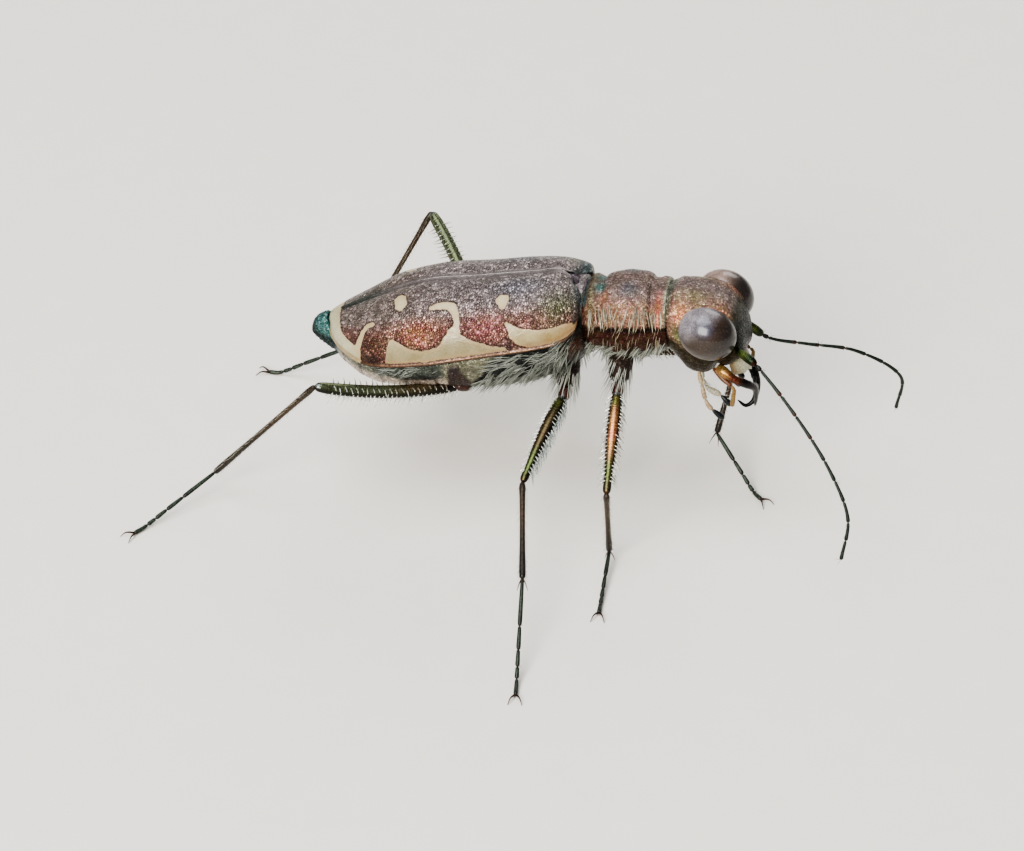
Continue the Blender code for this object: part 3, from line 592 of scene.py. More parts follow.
def case_tint(side, along, around):
    """The ground colour of a wing case, under its marks."""
    copper = 0.95 * rises(around, MARGIN, 0.963) * (1 - rises(along, 6.2, 6.8))
    mottled = copper * (0.82 + 0.18 * np.sin(along * 23) * np.sin(along * 9.1))
    return layered(
        (0.225, 0.185, 0.175),
        ((0.21, 0.165, 0.155), rises(around, 0.05, 0.45)),
        ((0.165, 0.125, 0.11), rises(along, 3.8, 5.6)),
        ((0.155, 0.075, 0.058), rises(around, 0.46, 0.68)),
        ((0.2, 0.066, 0.062), 0.8 * bell(along, 2.6, 0.6) * bell(around, 0.72, 0.14)),
        ((0.26, 0.1, 0.05), 0.7 * bell(along, 4.5, 0.6) * bell(around, 0.68, 0.13)),
        ((0.07, 0.03, 0.014), 0.85 * bell(along, 5.9, 0.45) * rises(around, 0.6, 0.75)),
        ((0.035, 0.014, 0.014), 0.8 * bell(along, 5.9, 0.35) * rises(around, 0.82, 0.93)),
        ((0.03, 0.02, 0.018), 0.75 * bell(along, 1.95, 0.25) * rises(around, 0.8, 0.9)),
        ((0.085, 0.09, 0.045), 0.85 * bell(along, 0.5, 0.5) * bell(around, 0.56, 0.2)),
        ((0.1, 0.115, 0.15), 0.5 * bell(along, 1.7, 0.9) * bell(around, 0.3, 0.14)),
        ((0.32, 0.28, 0.27), 0.75 * bell(around, 0.013, 0.009)),
        ((0.03, 0.022, 0.022), 0.8 * (1 - rises(around, 0.003, 0.008))),
        ((0.07, 0.055, 0.055), 0.6 * bell(around, 0.032, 0.007)),
        ((0.025, 0.04, 0.028), 0.75 * rises(along, 5.4, 6.4) * (1 - rises(around, 0.02, 0.2))),
        ((0.09, 0.135, 0.14), 0.6 * bell(along, 0.03, 0.12)),
        ((0.02, 0.07, 0.08),
         0.7 * bell(along, 0.1, 0.2) * bell(around, 0.45, 0.16) * (side == "left")),
        ((0.09, 0.04, 0.015), mottled),
        ((0.15, 0.078, 0.03), copper * 0.7 * bell(around, 0.972, 0.005)),
        ((0.04, 0.016, 0.01), rises(around, 0.982, 0.992)),
    )


def case_pale(along, around):
    """The colour of the marks: cream, and warmer at the shoulder and along their lower edge."""
    return layered(
        (0.34, 0.285, 0.17),
        ((0.4, 0.345, 0.22), bell(around, 0.3, 0.25)),
        ((0.2, 0.165, 0.085), rises(around, 0.62, 0.86) * (1 - rises(along, 5.6, 6.4))),
        ((0.28, 0.225, 0.115), bell(along, 1.4, 0.6) * (1 - rises(around, 0.86, 0.93))),
        ((0.34, 0.32, 0.215), rises(along, 6.3, 6.8)),
        ((0.235, 0.165, 0.07), 0.9 * (1 - rises(along, 0.5, 1.5)) * rises(around, 0.76, 0.9)),
        ((0.17, 0.095, 0.035), 0.8 * (1 - rises(along, 0.15, 0.6)) * rises(around, 0.7, 0.8)),
        ((0.16, 0.09, 0.033), 0.85 * rises(around, 0.88, 0.95) * (1 - rises(along, 1.4, 2.0))),
        ((0.2, 0.13, 0.055), 0.6 * rises(around, 0.9, MARGIN) * rises(along, 1.6, 2.2)),
    )


def make_wing_case(side, materials):
    outer, along, around = case_grid(side)
    inner = outer - grid_normals(outer, False) * CASE_THICK
    # The tip comes to a point, where an inner face would cross itself.
    inner[-4:] = outer[-4:] * 0.3 + inner[-5] * 0.7
    tint = case_tint(side, along, around).reshape(-1, 3)
    pale = case_pale(along, around).reshape(-1, 3)
    # The bead along the margin isn't cream, apart from its last part at the tip.
    margin = (around - MARGIN) * ROUND - 2 * rises(along, 6.1, 6.7)
    cream = np.maximum(mark_distance(along, around), margin).ravel()
    # Where the grains with their painted glints lie: not along the suture, and only faintly on the
    # margin.
    pits = (rises(around, 0.035, 0.07) * (1 - 0.9 * rises(around, 0.95, 0.96))).ravel()
    faces = plate_faces(*CASE_POINTS)
    if side == "left":
        faces = [face[::-1] for face in faces]
    builder = Builder()
    builder.add(np.concatenate([outer.reshape(-1, 3), inner.reshape(-1, 3)]), faces,
                tint=np.concatenate([tint, tint * 0.3]), pits=np.tile(pits, 2),
                pale=np.tile(pale, (2, 1)), cream=np.concatenate([cream, np.ones(cream.shape)]))
    builder.finish(f"wing_case_{side}", BODY, materials["wing_case"],
                   [f"elytron_{side}"])


# The trunk, prothorax and head.

def closed_grid(builder, grid, **values):
    """Adds a tube-like grid with both its ends closed by a fan."""
    rows, columns = grid.shape[:2]
    faces = closed_faces(rows, columns)
    points = np.concatenate([grid.reshape(-1, 3), [grid[0].mean(axis=0), grid[-1].mean(axis=0)]])
    a, b, c = points[faces[0][:3]]
    if np.cross(b - a, c - a).dot(a - grid[:2].mean(axis=(0, 1))) < 0:
        faces = [face[::-1] for face in faces]
    flat = {}
    for name, value in values.items():
        value = np.asarray(value, float).reshape(rows, columns, -1)
        flat[name] = np.concatenate([value.reshape(rows * columns, -1), value[:1, 0],
                                     value[-1:, 0]])
    builder.add(points, faces, **flat)


def ring_angles(columns):
    return np.linspace(0, 2 * math.pi, columns, endpoint=False)


def oval(turn, power):
    """(across, up) at turns from the top, on a rounded square of the given power."""
    sine, cosine = np.sin(turn), np.cos(turn)
    return (np.sign(sine) * np.abs(sine) ** (2 / power),
            np.sign(cosine) * np.abs(cosine) ** (2 / power))


def trunk_grid():
    """Thorax and abdomen, from front to back, each ring going from the top down the left."""
    rows, columns = TRUNK_POINTS
    x = np.linspace(TRUNK_FRONT, TRUNK_BACK, rows)
    s = (x - TRUNK_FRONT) / (TRUNK_BACK - TRUNK_FRONT)
    # Inside the wing cases it follows their form.
    along = np.clip((CASE_FRONT - x) / CASE_LENGTH, 0.02, 0.985)
    width = CASE_HALF_WIDTH * smooth(CASE_WIDTHS, along)
    crown, edge = smooth(CASE_CROWN, along), smooth(CASE_EDGE, along)
    narrow = 1 - smooth(TRUNK_TAIL, s)
    rise = smooth(TRUNK_RISE, s)
    ledge = edge - 0.03 + rise
    belly = smooth(TRUNK_BELLY, s) + rise / 2
    for seam in RING_SEAMS:
        belly = belly + 0.05 * bell(x, seam, 0.05) - 0.03 * rises(x, seam - 0.5, seam) * (x < seam)
    end = np.clip(1 - (np.clip(-7.56 - x, 0, None) / 0.7) ** 2.4, 0.004, 1) ** 0.5
    shoulder = 0.66 + 0.34 * rises(-x, 0.0, 0.5)
    neck = 1 - rises(-x, 0.3, 0.6)
    inner = np.maximum(width - 0.35 + 0.2 * neck, 0.48) * narrow * (shoulder + 0.1 * neck)
    outer = np.maximum((width - 0.1) * shoulder, inner + 0.02) * np.where(s > 0.9, narrow, 1)
    top = np.maximum(crown - 0.4 + 0.36 * rises(-x, 7.6, 7.74) + 0.24 * neck, ledge + 0.04)
    turns = ring_angles(columns)
    across, up = oval(turns, 1.95)
    grid = np.zeros((rows, columns, 3))
    upper = np.cos(turns) >= 0
    middle = (ledge - 0.28)[:, None]
    grid[..., 0] = x[:, None]
    grid[..., 1] = across * np.where(upper, inner[:, None], outer[:, None])
    heights = np.where(upper, (top - ledge)[:, None], (ledge - belly)[:, None])
    grid[..., 2] = ledge[:, None] + up * heights
    grid[..., 1] *= end[:, None]
    grid[..., 2] = middle + (grid[..., 2] - middle) * end[:, None]
    # The plates of the flank behind the hair, and the hind coxa that reaches up between them.
    x, from_top = grid[..., 0], flank_turns(grid)
    plates = 0.05 * hind_plate(x, from_top) - 0.05 * bell(x, plate_edge(from_top), 0.06)
    plates = plates * rises(from_top, 88, 95) * (1 - rises(from_top, 145, 160))
    # The wrinkled tip.
    turn = np.radians(from_top)
    rough = np.sin(x * 38 + 2 * np.sin(turn * 5)) * np.sin(turn * 13 + 3 * np.sin(x * 9))
    rough = rough + 0.6 * np.sin(x * 57 + turn * 7)
    rough = 0.016 * rough * (1 - rises(x, -7.6, -7.3))
    return grid + grid_normals(grid, True) * (plates + rough)[..., None]


def flank_turns(grid):
    """How far round from the top each point of a ringed part lies, in degrees, on either side."""
    turns = np.degrees(ring_angles(grid.shape[1]))
    return np.broadcast_to(np.minimum(turns, 360 - turns), grid.shape[:2])


def plate_edge(from_top):
    """Where the hair of the thorax ends, along the body, at a turn down its side."""
    return -2.35 - 0.85 * (from_top - 92) / 43


def hind_plate(x, from_top):
    """1 on the dark plate of the hind coxa, which narrows upwards to the wing case."""
    middle = -3.64 + 0.08 * (from_top - 97) / 43
    half = 0.1 + 0.24 * (from_top - 92) / 40
    return 1 - rises(np.abs(x - middle), half, half + 0.08)


def trunk_tint(grid):
    x, z, from_top = grid[..., 0], grid[..., 2], flank_turns(grid)
    front = 0.9 * rises(x, -0.7, -0.5)
    behind = rises(plate_edge(from_top) - x, 0.0, 0.1)
    abdomen = 1 - rises(x, -3.9, -3.7)
    smooth_edge = 110 - 9 * (1 - rises(x, -6.0, -5.0))
    dark = (0.008, 0.009, 0.01)
    coxa = blend((0.05, 0.036, 0.036), (0.024, 0.009, 0.006), rises(from_top, 98, 116))
    tip = 1 - rises(x, -7.5, -7.1)
    tint = layered(
        (0.012, 0.014, 0.013),
        ((0.11, 0.035, 0.012), 0.85 * bell(x, -0.25, 0.2) * bell(z, -0.25, 0.35)),
        ((0.17, 0.18, 0.15), front * (1 - rises(from_top, 60, 80))),
        ((0.24, 0.2, 0.2), front * (1 - rises(from_top, 22, 38))),
        ((0.07, 0.11, 0.13), 0.7 * front * bell(from_top, 48, 8)),
        ((0.19, 0.185, 0.125), 0.9 * behind),
        ((0.07, 0.08, 0.065), 1 - rises(x, -4.05, -3.9)),
        ((0.16, 0.16, 0.12), 0.8 * (1 - rises(x, -6.4, -5.6))),
        ((0.5, 0.41, 0.33), abdomen * rises(from_top, smooth_edge, smooth_edge + 8)),
        ((0.05, 0.05, 0.045), abdomen * rises(from_top, 140, 155)),
        (dark, 0.97 * bell(x, -4.5, 0.42) * bell(from_top, 111, 6.5)),
        (dark, 0.8 * bell(x, plate_edge(from_top), 0.07)),
    )
    for seam in RING_SEAMS[1:]:
        tint = blend(tint, (0.01, 0.009, 0.009), 0.8 * bell(x, seam, 0.05))
    return layered(
        tint,
        (coxa, hind_plate(x, from_top) * rises(from_top, 90, 98)),
        ((0.045, 0.125, 0.12), tip),
        # Painted glints on the teal tip.
        ((0.38, 0.44, 0.38), 0.6 * tip * bell(np.sin(x * 38) * np.sin(from_top * 0.33), 1, 0.3)),
        # Painted shade on the tip's lower side and at its very end.
        ((0.012, 0.02, 0.02), 0.9 * tip * rises(from_top, 98, 112)),
        ((0.012, 0.022, 0.022), 0.85 * (1 - rises(x, -8.16, -8.0))),
    )


def make_trunk(materials):
    grid = trunk_grid()
    builder = Builder()
    closed_grid(builder, grid, tint=trunk_tint(grid))
    builder.finish("trunk_skin", BODY, materials["cuticle"],
                   ["thorax", "abdomen", "abdomen_tip"])
    return grid


def ring_grid(table, x, columns, power):
    """A grid of rings at places x from a table, with its x and its turns from the top."""
    width, top, bottom = (smooth([(row[0], row[k]) for row in table], x) for k in (1, 2, 3))
    turns = ring_angles(columns)
    across, up = oval(turns, power)
    middle, half = ((top + bottom) / 2)[:, None], ((top - bottom) / 2)[:, None]
    made = np.broadcast_arrays(x[:, None], width[:, None] * across, middle + half * up,
                               np.degrees(turns))
    return np.stack(made[:3], axis=-1), made[0], made[3]


def prothorax_grid():
    """The ring of the prothorax: its cross grooves, the line down its back and its side seams."""
    x = np.linspace(PROTHORAX[0][0], PROTHORAX[-1][0], 110)
    grid, x, turn = ring_grid(PROTHORAX, x, 120, 2.25)
    normals = grid_normals(grid, True)
    from_top = flank_turns(grid)
    back = 1 - rises(from_top, 75, 100)
    depth = 0.07 * bell(x, 0.5, 0.09) * back + 0.06 * bell(x, 2.0, 0.08) * back
    depth = depth + 0.03 * bell(from_top, 0, 3) * rises(x, 0.5, 0.7) * (1 - rises(x, 1.8, 2.0))
    depth = depth + 0.06 * bell(from_top, 88, 4) * rises(x, 0.2, 0.5) * (1 - rises(x, 2.0, 2.3))
    depth = depth + 0.045 * bell(x, 0.62, 0.12) * bell(from_top, 38, 9)
    depth = depth - 0.035 * bell(x, 0.25, 0.08) - 0.025 * bell(x, 2.22, 0.07)
    depth = depth + 0.01 * np.sin(x * 9) * np.sin(np.radians(turn) * 7 + x * 3)
    return grid - normals * depth[..., None], x


def prothorax_tint(x, from_top):
    return layered(
        (0.19, 0.13, 0.11),
        ((0.26, 0.14, 0.09), rises(from_top, 34, 60)),
        ((0.1, 0.1, 0.11), 0.85 * bell(x, 1.35, 0.3) * bell(from_top, 24, 14)),
        ((0.13, 0.1, 0.05), 0.8 * bell(x, 0.25, 0.16) * (1 - rises(from_top, 60, 80))),
        ((0.05, 0.165, 0.155), 0.85 * bell(x, 0.48, 0.16) * bell(from_top, 13, 11)),
        ((0.42, 0.19, 0.1), 0.75 * bell(x, 0.62, 0.16) * bell(from_top, 36, 12)),
        ((0.38, 0.12, 0.07), 0.8 * bell(x, 2.22, 0.1) * rises(from_top, 10, 40)),
        ((0.32, 0.34, 0.24), 0.85 * bell(x, 2.4, 0.035)),
        ((0.03, 0.06, 0.04), 0.6 * bell(x, 2.0, 0.1) * rises(from_top, 50, 80)),
        ((0.02, 0.09, 0.1), 0.9 * bell(x, 0.06, 0.05) * (1 - rises(from_top, 45, 60))),
        ((0.4, 0.14, 0.06), 0.8 * bell(x, 0.06, 0.06) * bell(from_top, 60, 9)),
        ((0.045, 0.016, 0.009), rises(from_top, 80, 90)),
        ((0.005, 0.004, 0.004), bell(from_top, 88, 3.5) * rises(x, 0.2, 0.5)),
    )


def make_prothorax(materials):
    grid, x = prothorax_grid()
    builder = Builder()
    closed_grid(builder, grid, tint=prothorax_tint(x, flank_turns(grid)))
    builder.finish("pronotum", BODY, materials["cuticle"], ["prothorax"])
    return grid


def make_scutellum(materials):
    """The small three-cornered plate between the bases of the wing cases."""
    rows, columns = 24, 21
    x, c = np.linspace(0.06, -0.84, rows), np.linspace(-1, 1, columns)
    half, height = smooth(SCUTELLUM, -x) + 0.05, smooth(SCUTELLUM_HEIGHT, -x)
    up = height[:, None] - 0.05 * np.abs(c) ** 3 - 0.02 * (1 - c**2)
    grid = np.stack(np.broadcast_arrays(x[:, None], half[:, None] * c, up), axis=-1)
    shine = np.broadcast_to(bell(c, 0, 0.5), (rows, columns))
    tint = blend((0.08, 0.055, 0.07), (0.17, 0.13, 0.155), shine).reshape(-1, 3)
    top, faces = grid.reshape(-1, 3), grid_faces(rows, columns, False)
    builder = Builder()
    builder.add(top, faces.tolist(), tint=tint)
    builder.add(top - [0, 0, 0.3], faces[:, ::-1].tolist(), tint=tint)
    builder.finish("scutellum_plate", BODY, materials["cuticle"], ["scutellum"])


def head_grid():
    """The head's shell, with a brow over each eye and a shallow dip between them."""
    x = np.concatenate([np.linspace(-0.4, 0.1, 12), np.linspace(0.12, 2.2, 126),
                        [2.235, 2.26, 2.28]])
    grid, x, _ = ring_grid(HEAD, x, 144, 2.3)
    normals = grid_normals(grid, True)
    from_top = flank_turns(grid)
    lift = np.zeros(x.shape)
    for side in SIDES:
        lift += 0.06 * bell(from_eye(grid, side), 1.12, 0.14) * rises(grid[..., 2], -0.5, 0.2)
    lift -= 0.07 * bell(from_top, 0, 22) * bell(x, 1.25, 0.5)
    lift += 0.03 * bell(x, 0.33, 0.1) * (1 - rises(from_top, 60, 90))
    lift -= 0.05 * bell(grid[..., 2], -1.18, 0.06) * rises(x, 1.9, 2.15)
    lift += 0.2 * bell(x, 1.78, 0.26) * bell(from_top, 128, 18)
    return grid + normals * lift[..., None], x


def from_eye(grid, side):
    """How far places lie from an eye, where 1 is the ellipsoid that its brow follows."""
    return np.linalg.norm((grid - mirror(EYE_PLACE, side)) / EYE_SIZE, axis=-1)


def head_tint(grid, x, from_top):
    z = grid[..., 2]
    return layered(
        (0.25, 0.15, 0.1),
        ((0.19, 0.14, 0.125), bell(from_top, 0, 30)),
        ((0.16, 0.15, 0.07), 0.7 * bell(x, 0.9, 0.3) * bell(from_top, 30, 12)),
        ((0.62, 0.27, 0.13), 0.95 * bell(x, 0.6, 0.22) * bell(from_top, 62, 15)),
        ((0.45, 0.22, 0.12), 0.75 * bell(x, 1.75, 0.2) * bell(from_top, 45, 15)),
        ((0.05, 0.16, 0.03), 0.9 * bell(x, 0.62, 0.2) * bell(from_top, 86, 10)),
        ((0.09, 0.11, 0.08), 0.8 * (1 - rises(x, 0.15, 0.32)) * (1 - rises(from_top, 60, 80))),
        ((0.022, 0.026, 0.012), 0.9 * rises(x, 1.86, 2.06)),
        ((0.004, 0.006, 0.003), rises(x, 1.7, 1.95) * rises(-z, -0.2, 0.15)),
        ((0.028, 0.019, 0.009), rises(from_top, 90, 104)),
    )


def make_head(materials):
    grid, x = head_grid()
    rings = np.full(x.shape, 9.0)
    for side in SIDES:
        rings = np.minimum(rings, from_eye(grid, side))
    builder = Builder()
    closed_grid(builder, grid, tint=head_tint(grid, x, flank_turns(grid)), rings=rings)
    builder.finish("head_shell", HEAD_FRAME, materials["head"], ["head"])
    for side in SIDES:
        make_eye(side, materials)


def make_eye(side, materials):
    """An eye's ball, lighter where it looks up as a painted sky reflection, dark in front, and with
    a bluish patch of painted reflection round its highlight.
    """
    light, sink, front = EYE_LOOKS[side]
    rows, columns = BALL_POINTS
    lift = np.radians(np.linspace(-89, 89, rows))[:, None]
    turns = np.radians(np.linspace(0, 360, columns, endpoint=False))
    ball = np.stack([np.cos(lift) * np.cos(turns), np.cos(lift) * np.sin(turns),
                     np.broadcast_to(np.sin(lift), BALL_POINTS)], axis=-1)
    shape = ball * BALL_SIZE @ as_array(Matrix.Rotation(math.radians(BALL_DIP), 3, "Y")).T
    ball = unit(shape / [0.84, 0.7, 0.78])
    upper = rises(0.8 * ball[..., 2] - 0.6 * ball[..., 0], 0.15, 0.85)
    forward = rises(0.85 * ball[..., 0] - sink * ball[..., 2], front, 0.7)
    from_painted_blue = np.linalg.norm(ball - mirror((0.09, 0.79, 0.6), side), axis=-1)
    # The upper part carries a painted reflection of the sky, and the blue patch a painted
    # reflection round where the highlight falls.
    tint = layered(
        (0.027, 0.014, 0.007),
        (light, upper),
        ((0.01, 0.007, 0.006), forward),
        ((0.02, 0.026, 0.065), 0.85 * bell(from_painted_blue, 0, 0.3)),
    )
    builder = Builder()
    closed_grid(builder, shape + mirror(BALL_PLACE[side], side), tint=tint)
    builder.finish(f"compound_eye_{side}", HEAD_FRAME, materials["eye"], [f"eye_{side}"])


def make_labrum(materials):
    """The cream upper lip, a swollen plate with blunt teeth along its lower edge."""
    rows, columns = 30, 49
    t, c = np.linspace(0, 1, rows)[:, None], np.linspace(-1, 1, columns)
    half = smooth([(0, 0.45), (0.35, 0.53), (0.8, 0.51), (1, 0.42)], t)
    teeth = 0.05 * np.cos(c * math.pi * 3) * (1 - c**2)
    swell = 0.07 * (1 - c**2) * np.sin(t * math.pi) + 0.03 * bell(c, 0, 0.12)
    out = 2.17 + 0.16 * t - 0.3 * np.abs(c) ** 2.2 + swell
    up = -1.12 - 0.66 * t - 0.04 * np.abs(c) ** 3 - t**6 * teeth
    grid = np.stack([out, half * c, up], axis=-1)
    tint = layered(
        (0.33, 0.325, 0.23),
        ((0.2, 0.14, 0.07), np.broadcast_to(np.abs(c) ** 5, out.shape)),
        ((0.16, 0.08, 0.03), (1 - rises(t, 0.0, 0.2)) * np.ones(columns)),
    )
    builder = Builder()
    builder.add(np.stack([grid, grid - [0.09, 0, 0.0]]), plate_faces(rows, columns),
                tint=np.tile(tint.reshape(-1, 3), (2, 1)), run=0.0)
    builder.finish("labrum_plate", HEAD_FRAME, materials["horn"], ["labrum"])


def make_mandibles(materials):
    """Pale at the base, dark beyond, with three teeth on the inner side and a long curved tip."""
    t = np.linspace(0, 1, 48)
    for side, route in MANDIBLE_ROUTES.items():
        points = smooth_route(route, len(t))
        tint = blend((0.26, 0.15, 0.05), (0.09, 0.03, 0.012), rises(t, 0.1, 0.22))
        tint = blend(tint, BLACK, rises(t, 0.26, 0.34) if side == "right" else rises(t, 0.08, 0.2))
        builder = Builder()
        builder.add_tube(points, smooth(MANDIBLE_SHAPE, t), 20, tint=tint,
                         run=(t * length_of(points))[:, None])
        inward = np.array([0.25, -1.0 if side == "left" else 1.0, -0.25])
        for place, reach in MANDIBLE_TEETH:
            root = along_route(points, place)
            tip = root + (inward + [0, 0, -0.4]) * reach
            builder.add_thorn([root, root + inward * reach * 0.55, tip], 9, (0.085, 0.012), 10,
                              BLACK)
        builder.finish(f"mandible_blade_{side}", HEAD_FRAME, materials["mandible"],
                       [f"mandible_{side}"])


def make_palps(materials):
    """Palps of short joints, the last one dark, and long pale setae on the lower pair."""
    for name, palp in PALPS.items():
        ends, colours = palp["ends"], [palp["colour"]] * (len(palp["widths"]) - 1) + [palp["last"]]
        for side in SIDES:
            builder = Builder()
            points = smooth_route(mirror(palp["route"], side), 60)
            for start, end, wide, colour in zip(ends, ends[1:], palp["widths"], colours):
                spots, radii, t, run = joint(points, start, end,
                                             [(0, 0.045), (0.6, wide), (1, 0.065)])
                builder.add_tube(spots, radii, 12, tint=np.tile(colour, (len(t), 1)), run=run)
            if name == "labial_palp":
                at = RANDOM.uniform(0.25, 0.75, 40)
                lean = unit(RANDOM.normal(0, 1, (40, 3)) + [0.7, 0, -0.6])
                add_hairs(builder, along_route(points, at), lean, RANDOM.uniform(0.25, 0.5, 40),
                          0.008, colour=(0.8, 0.78, 0.68))
            replaced = [] if name == "galea" else [f"{name}_{side}"]
            builder.finish(f"{name}_{side}_fine", HEAD_FRAME, materials["horn"],
                           replaced)


def make_antennae(materials):
    """Eleven segments each, the first five ending in copper, with a few bristles at their ends."""
    for side, route in ANTENNA_ROUTES.items():
        points = smooth_route(route, 200)
        for group, (low, high) in ANTENNA_GROUPS.items():
            builder = Builder()
            for k in range(low, high):
                shape, colour = ANTENNA_SHAPES[min(k, 2)], ANTENNA_COLOURS[min(k, 2)]
                spots, radii, t, run = joint(points, *ANTENNA_ENDS[k:k + 2], shape)
                # The yellow-green band across the scape is a painted highlight.
                tint = blend(colour, (0.12, 0.15, 0.03), 0.4 * bell(t, 0.35, 0.2) * (k == 0))
                tint = blend(tint, (0.04, 0.012, 0.006), rises(t, 0.8, 1.0) * (k < 5))
                builder.add_tube(spots, radii, JOINT_RINGS, tint=tint, run=run)
                number = 5 if k < 5 else 3
                lean = unit(spots[-1] - spots[-3]) + RANDOM.normal(0, 0.7, (number, 3))
                add_hairs(builder, np.repeat(spots[-2:-1], number, axis=0), lean, 0.2, 0.007,
                          colour=(0.03, 0.03, 0.03))
            slot, material = ("green_metal",) * 2 if group == "scape" else ("dark_horn", "leg_dark")
            builder.finish(f"antenna_{side}_{group}_fine", HEAD_FRAME, materials[material],
                           [f"antenna_{side}_{group}"])


# The legs.

def leg_joints(pair, side):
    """Places of the femur's base, the knee, the ankle and the tip of the foot, before the shift."""
    (femur, *femur_aim), (tibia, *tibia_aim), (tarsus, turn) = LEGS[pair, side]
    hip = moved(mirror(HIPS[pair], side), BODY)
    knee = hip + heading(*femur_aim) * femur
    ankle = knee + heading(*tibia_aim) * tibia
    tip = ankle + heading(turn, 0) * math.sqrt(tarsus**2 - ankle[2] ** 2)
    tip[2] = 0
    return hip, knee, ankle, tip


def rows_of_setae(builder, points, radii, turns, spacing, length, lean, colour=SETA_WHITE,
                  thick=0.008, start=0.06, end=0.97, droop=0):
    """Straight rows of short setae along a limb, at turns round it in degrees from its upper side.

    They stand square to the limb's surface, or point further round it by droop degrees.
    """
    count = int(length_of(points) * (end - start) / spacing)
    t = np.linspace(start, end, count)
    ahead = unit(np.gradient(np.asarray(points), axis=0))
    parts = np.linspace(0, 1, len(points))
    axis = np.stack([np.interp(t, parts, ahead[:, k]) for k in range(3)], axis=1)
    centre = along_route(points, t)
    upward = unit(np.array([0, 0, 1.0]) - axis * axis[:, 2:3])
    across = np.cross(axis, upward)
    radius = np.interp(t, parts, radii)[:, None]
    for turn in turns:
        angle = math.radians(turn) + RANDOM.normal(0, 0.12, count)[:, None]
        out = upward * np.cos(angle) + across * np.sin(angle)
        aim = angle + math.copysign(math.radians(droop), turn)
        direction = upward * np.cos(aim) + across * np.sin(aim) + axis * lean
        direction = direction + RANDOM.normal(0, 0.08, (count, 3))
        lengths = length * RANDOM.uniform(0.8, 1.15, count)
        add_hairs(builder, centre + out * radius * 0.85, direction, lengths, thick, colour,
                  bend=axis * 0.25)


def femur_setae(pair, side):
    """The rows of a femur: two above, a comb on each edge and two below; each pair has its own."""
    comb = dict(spacing=0.09, length=0.28, lean=0.4, thick=0.022, start=0.04, end=0.88, droop=38)
    below = dict(turns=(150, -150), spacing=0.12, length=0.2, lean=0.9, thick=0.014, start=0.08,
                 end=0.9)
    if pair == "hind":
        return [dict(comb, turns=(16, -16), spacing=0.16, length=0.34, thick=0.024, lean=-0.35,
                     droop=76),
                dict(comb, turns=(92, -92), spacing=0.12, length=0.36, thick=0.026, lean=0.15,
                     droop=54),
                below]
    above = dict(turns=(38, -38), spacing=0.11, length=0.22, lean=0.45, thick=0.02, end=0.88,
                 droop=55)
    if pair == "front":
        return [above, dict(comb, turns=(92, -92)), below]
    ahead = -1 if side == "right" else 1
    return [above,
            dict(comb, turns=(70 * ahead,), spacing=0.07, lean=0.9, colour=(0.6, 0.64, 0.62)),
            dict(comb, turns=(98 * ahead,), spacing=0.06, length=0.36, lean=1.0,
                 colour=(0.55, 0.6, 0.58)),
            dict(comb, turns=(-80 * ahead,), spacing=0.13, length=0.1, lean=1.2),
            below]


def femur_tint(s, pair):
    """A femur's colour along it and round it, with painted highlights and painted shade."""
    hind = pair == "hind"
    base, copper = ((0.1, 0.085, 0.04), 0.95) if pair == "front" else ((0.055, 0.05, 0.025), 0.06)
    green = ((0.1, 0.12, 0.065), 0.8 * rises(s, 0.3, 0.6))
    if not hind:
        green = ((0.1, 0.14, 0.04), 0.8 * bell(s, 0.8, 0.12))
    tint = layered(
        base,
        # The front femur's copper is its own, brightened along the middle into a painted highlight.
        ((0.62, 0.27, 0.12), copper * bell(s, 0.43, 0.26)),
        ((0.16, 0.19, 0.045), 0.7 * bell(s, 0.13, 0.05) * (not hind)),
        ((0.05, 0.055, 0.055), 1 - rises(s, 0.04, 0.1)),
        ((0.02, 0.014, 0.013), (1 - rises(s, 0.1, 0.3)) * hind),
        # A painted bluish-white highlight on the rounded base of the front and middle femora.
        ((0.45, 0.5, 0.52), 0.8 * bell(s, 0.035, 0.02) * (not hind)),
        green,
        # At the knee the hind femur's pale bluish patch is a painted highlight; the others' dark
        # orange is their own colour.
        ((0.2, 0.22, 0.22) if hind else (0.06, 0.025, 0.012), rises(s, 0.96, 1.0)),
    )
    # The upper side carries the colour, and the two edges with their setae are nearly black:
    # painted shade, standing for the dark ground they reflect.
    turns = np.cos(ring_angles(FEMUR_SIDES) - math.pi * 1.5)
    low, high = (0.15, 0.5) if hind else (0.72, 0.94)
    return blend(tint[:, None], (0.012, 0.012, 0.01), 0.95 * (1 - rises(turns, low, high)))


def tibia_tint(s):
    return layered(
        (0.022, 0.018, 0.013),
        ((0.05, 0.032, 0.018), 0.8 * bell(s, 0.3, 0.25)),
        ((0.014, 0.012, 0.01), rises(s, 0.85, 1.0)),
    )


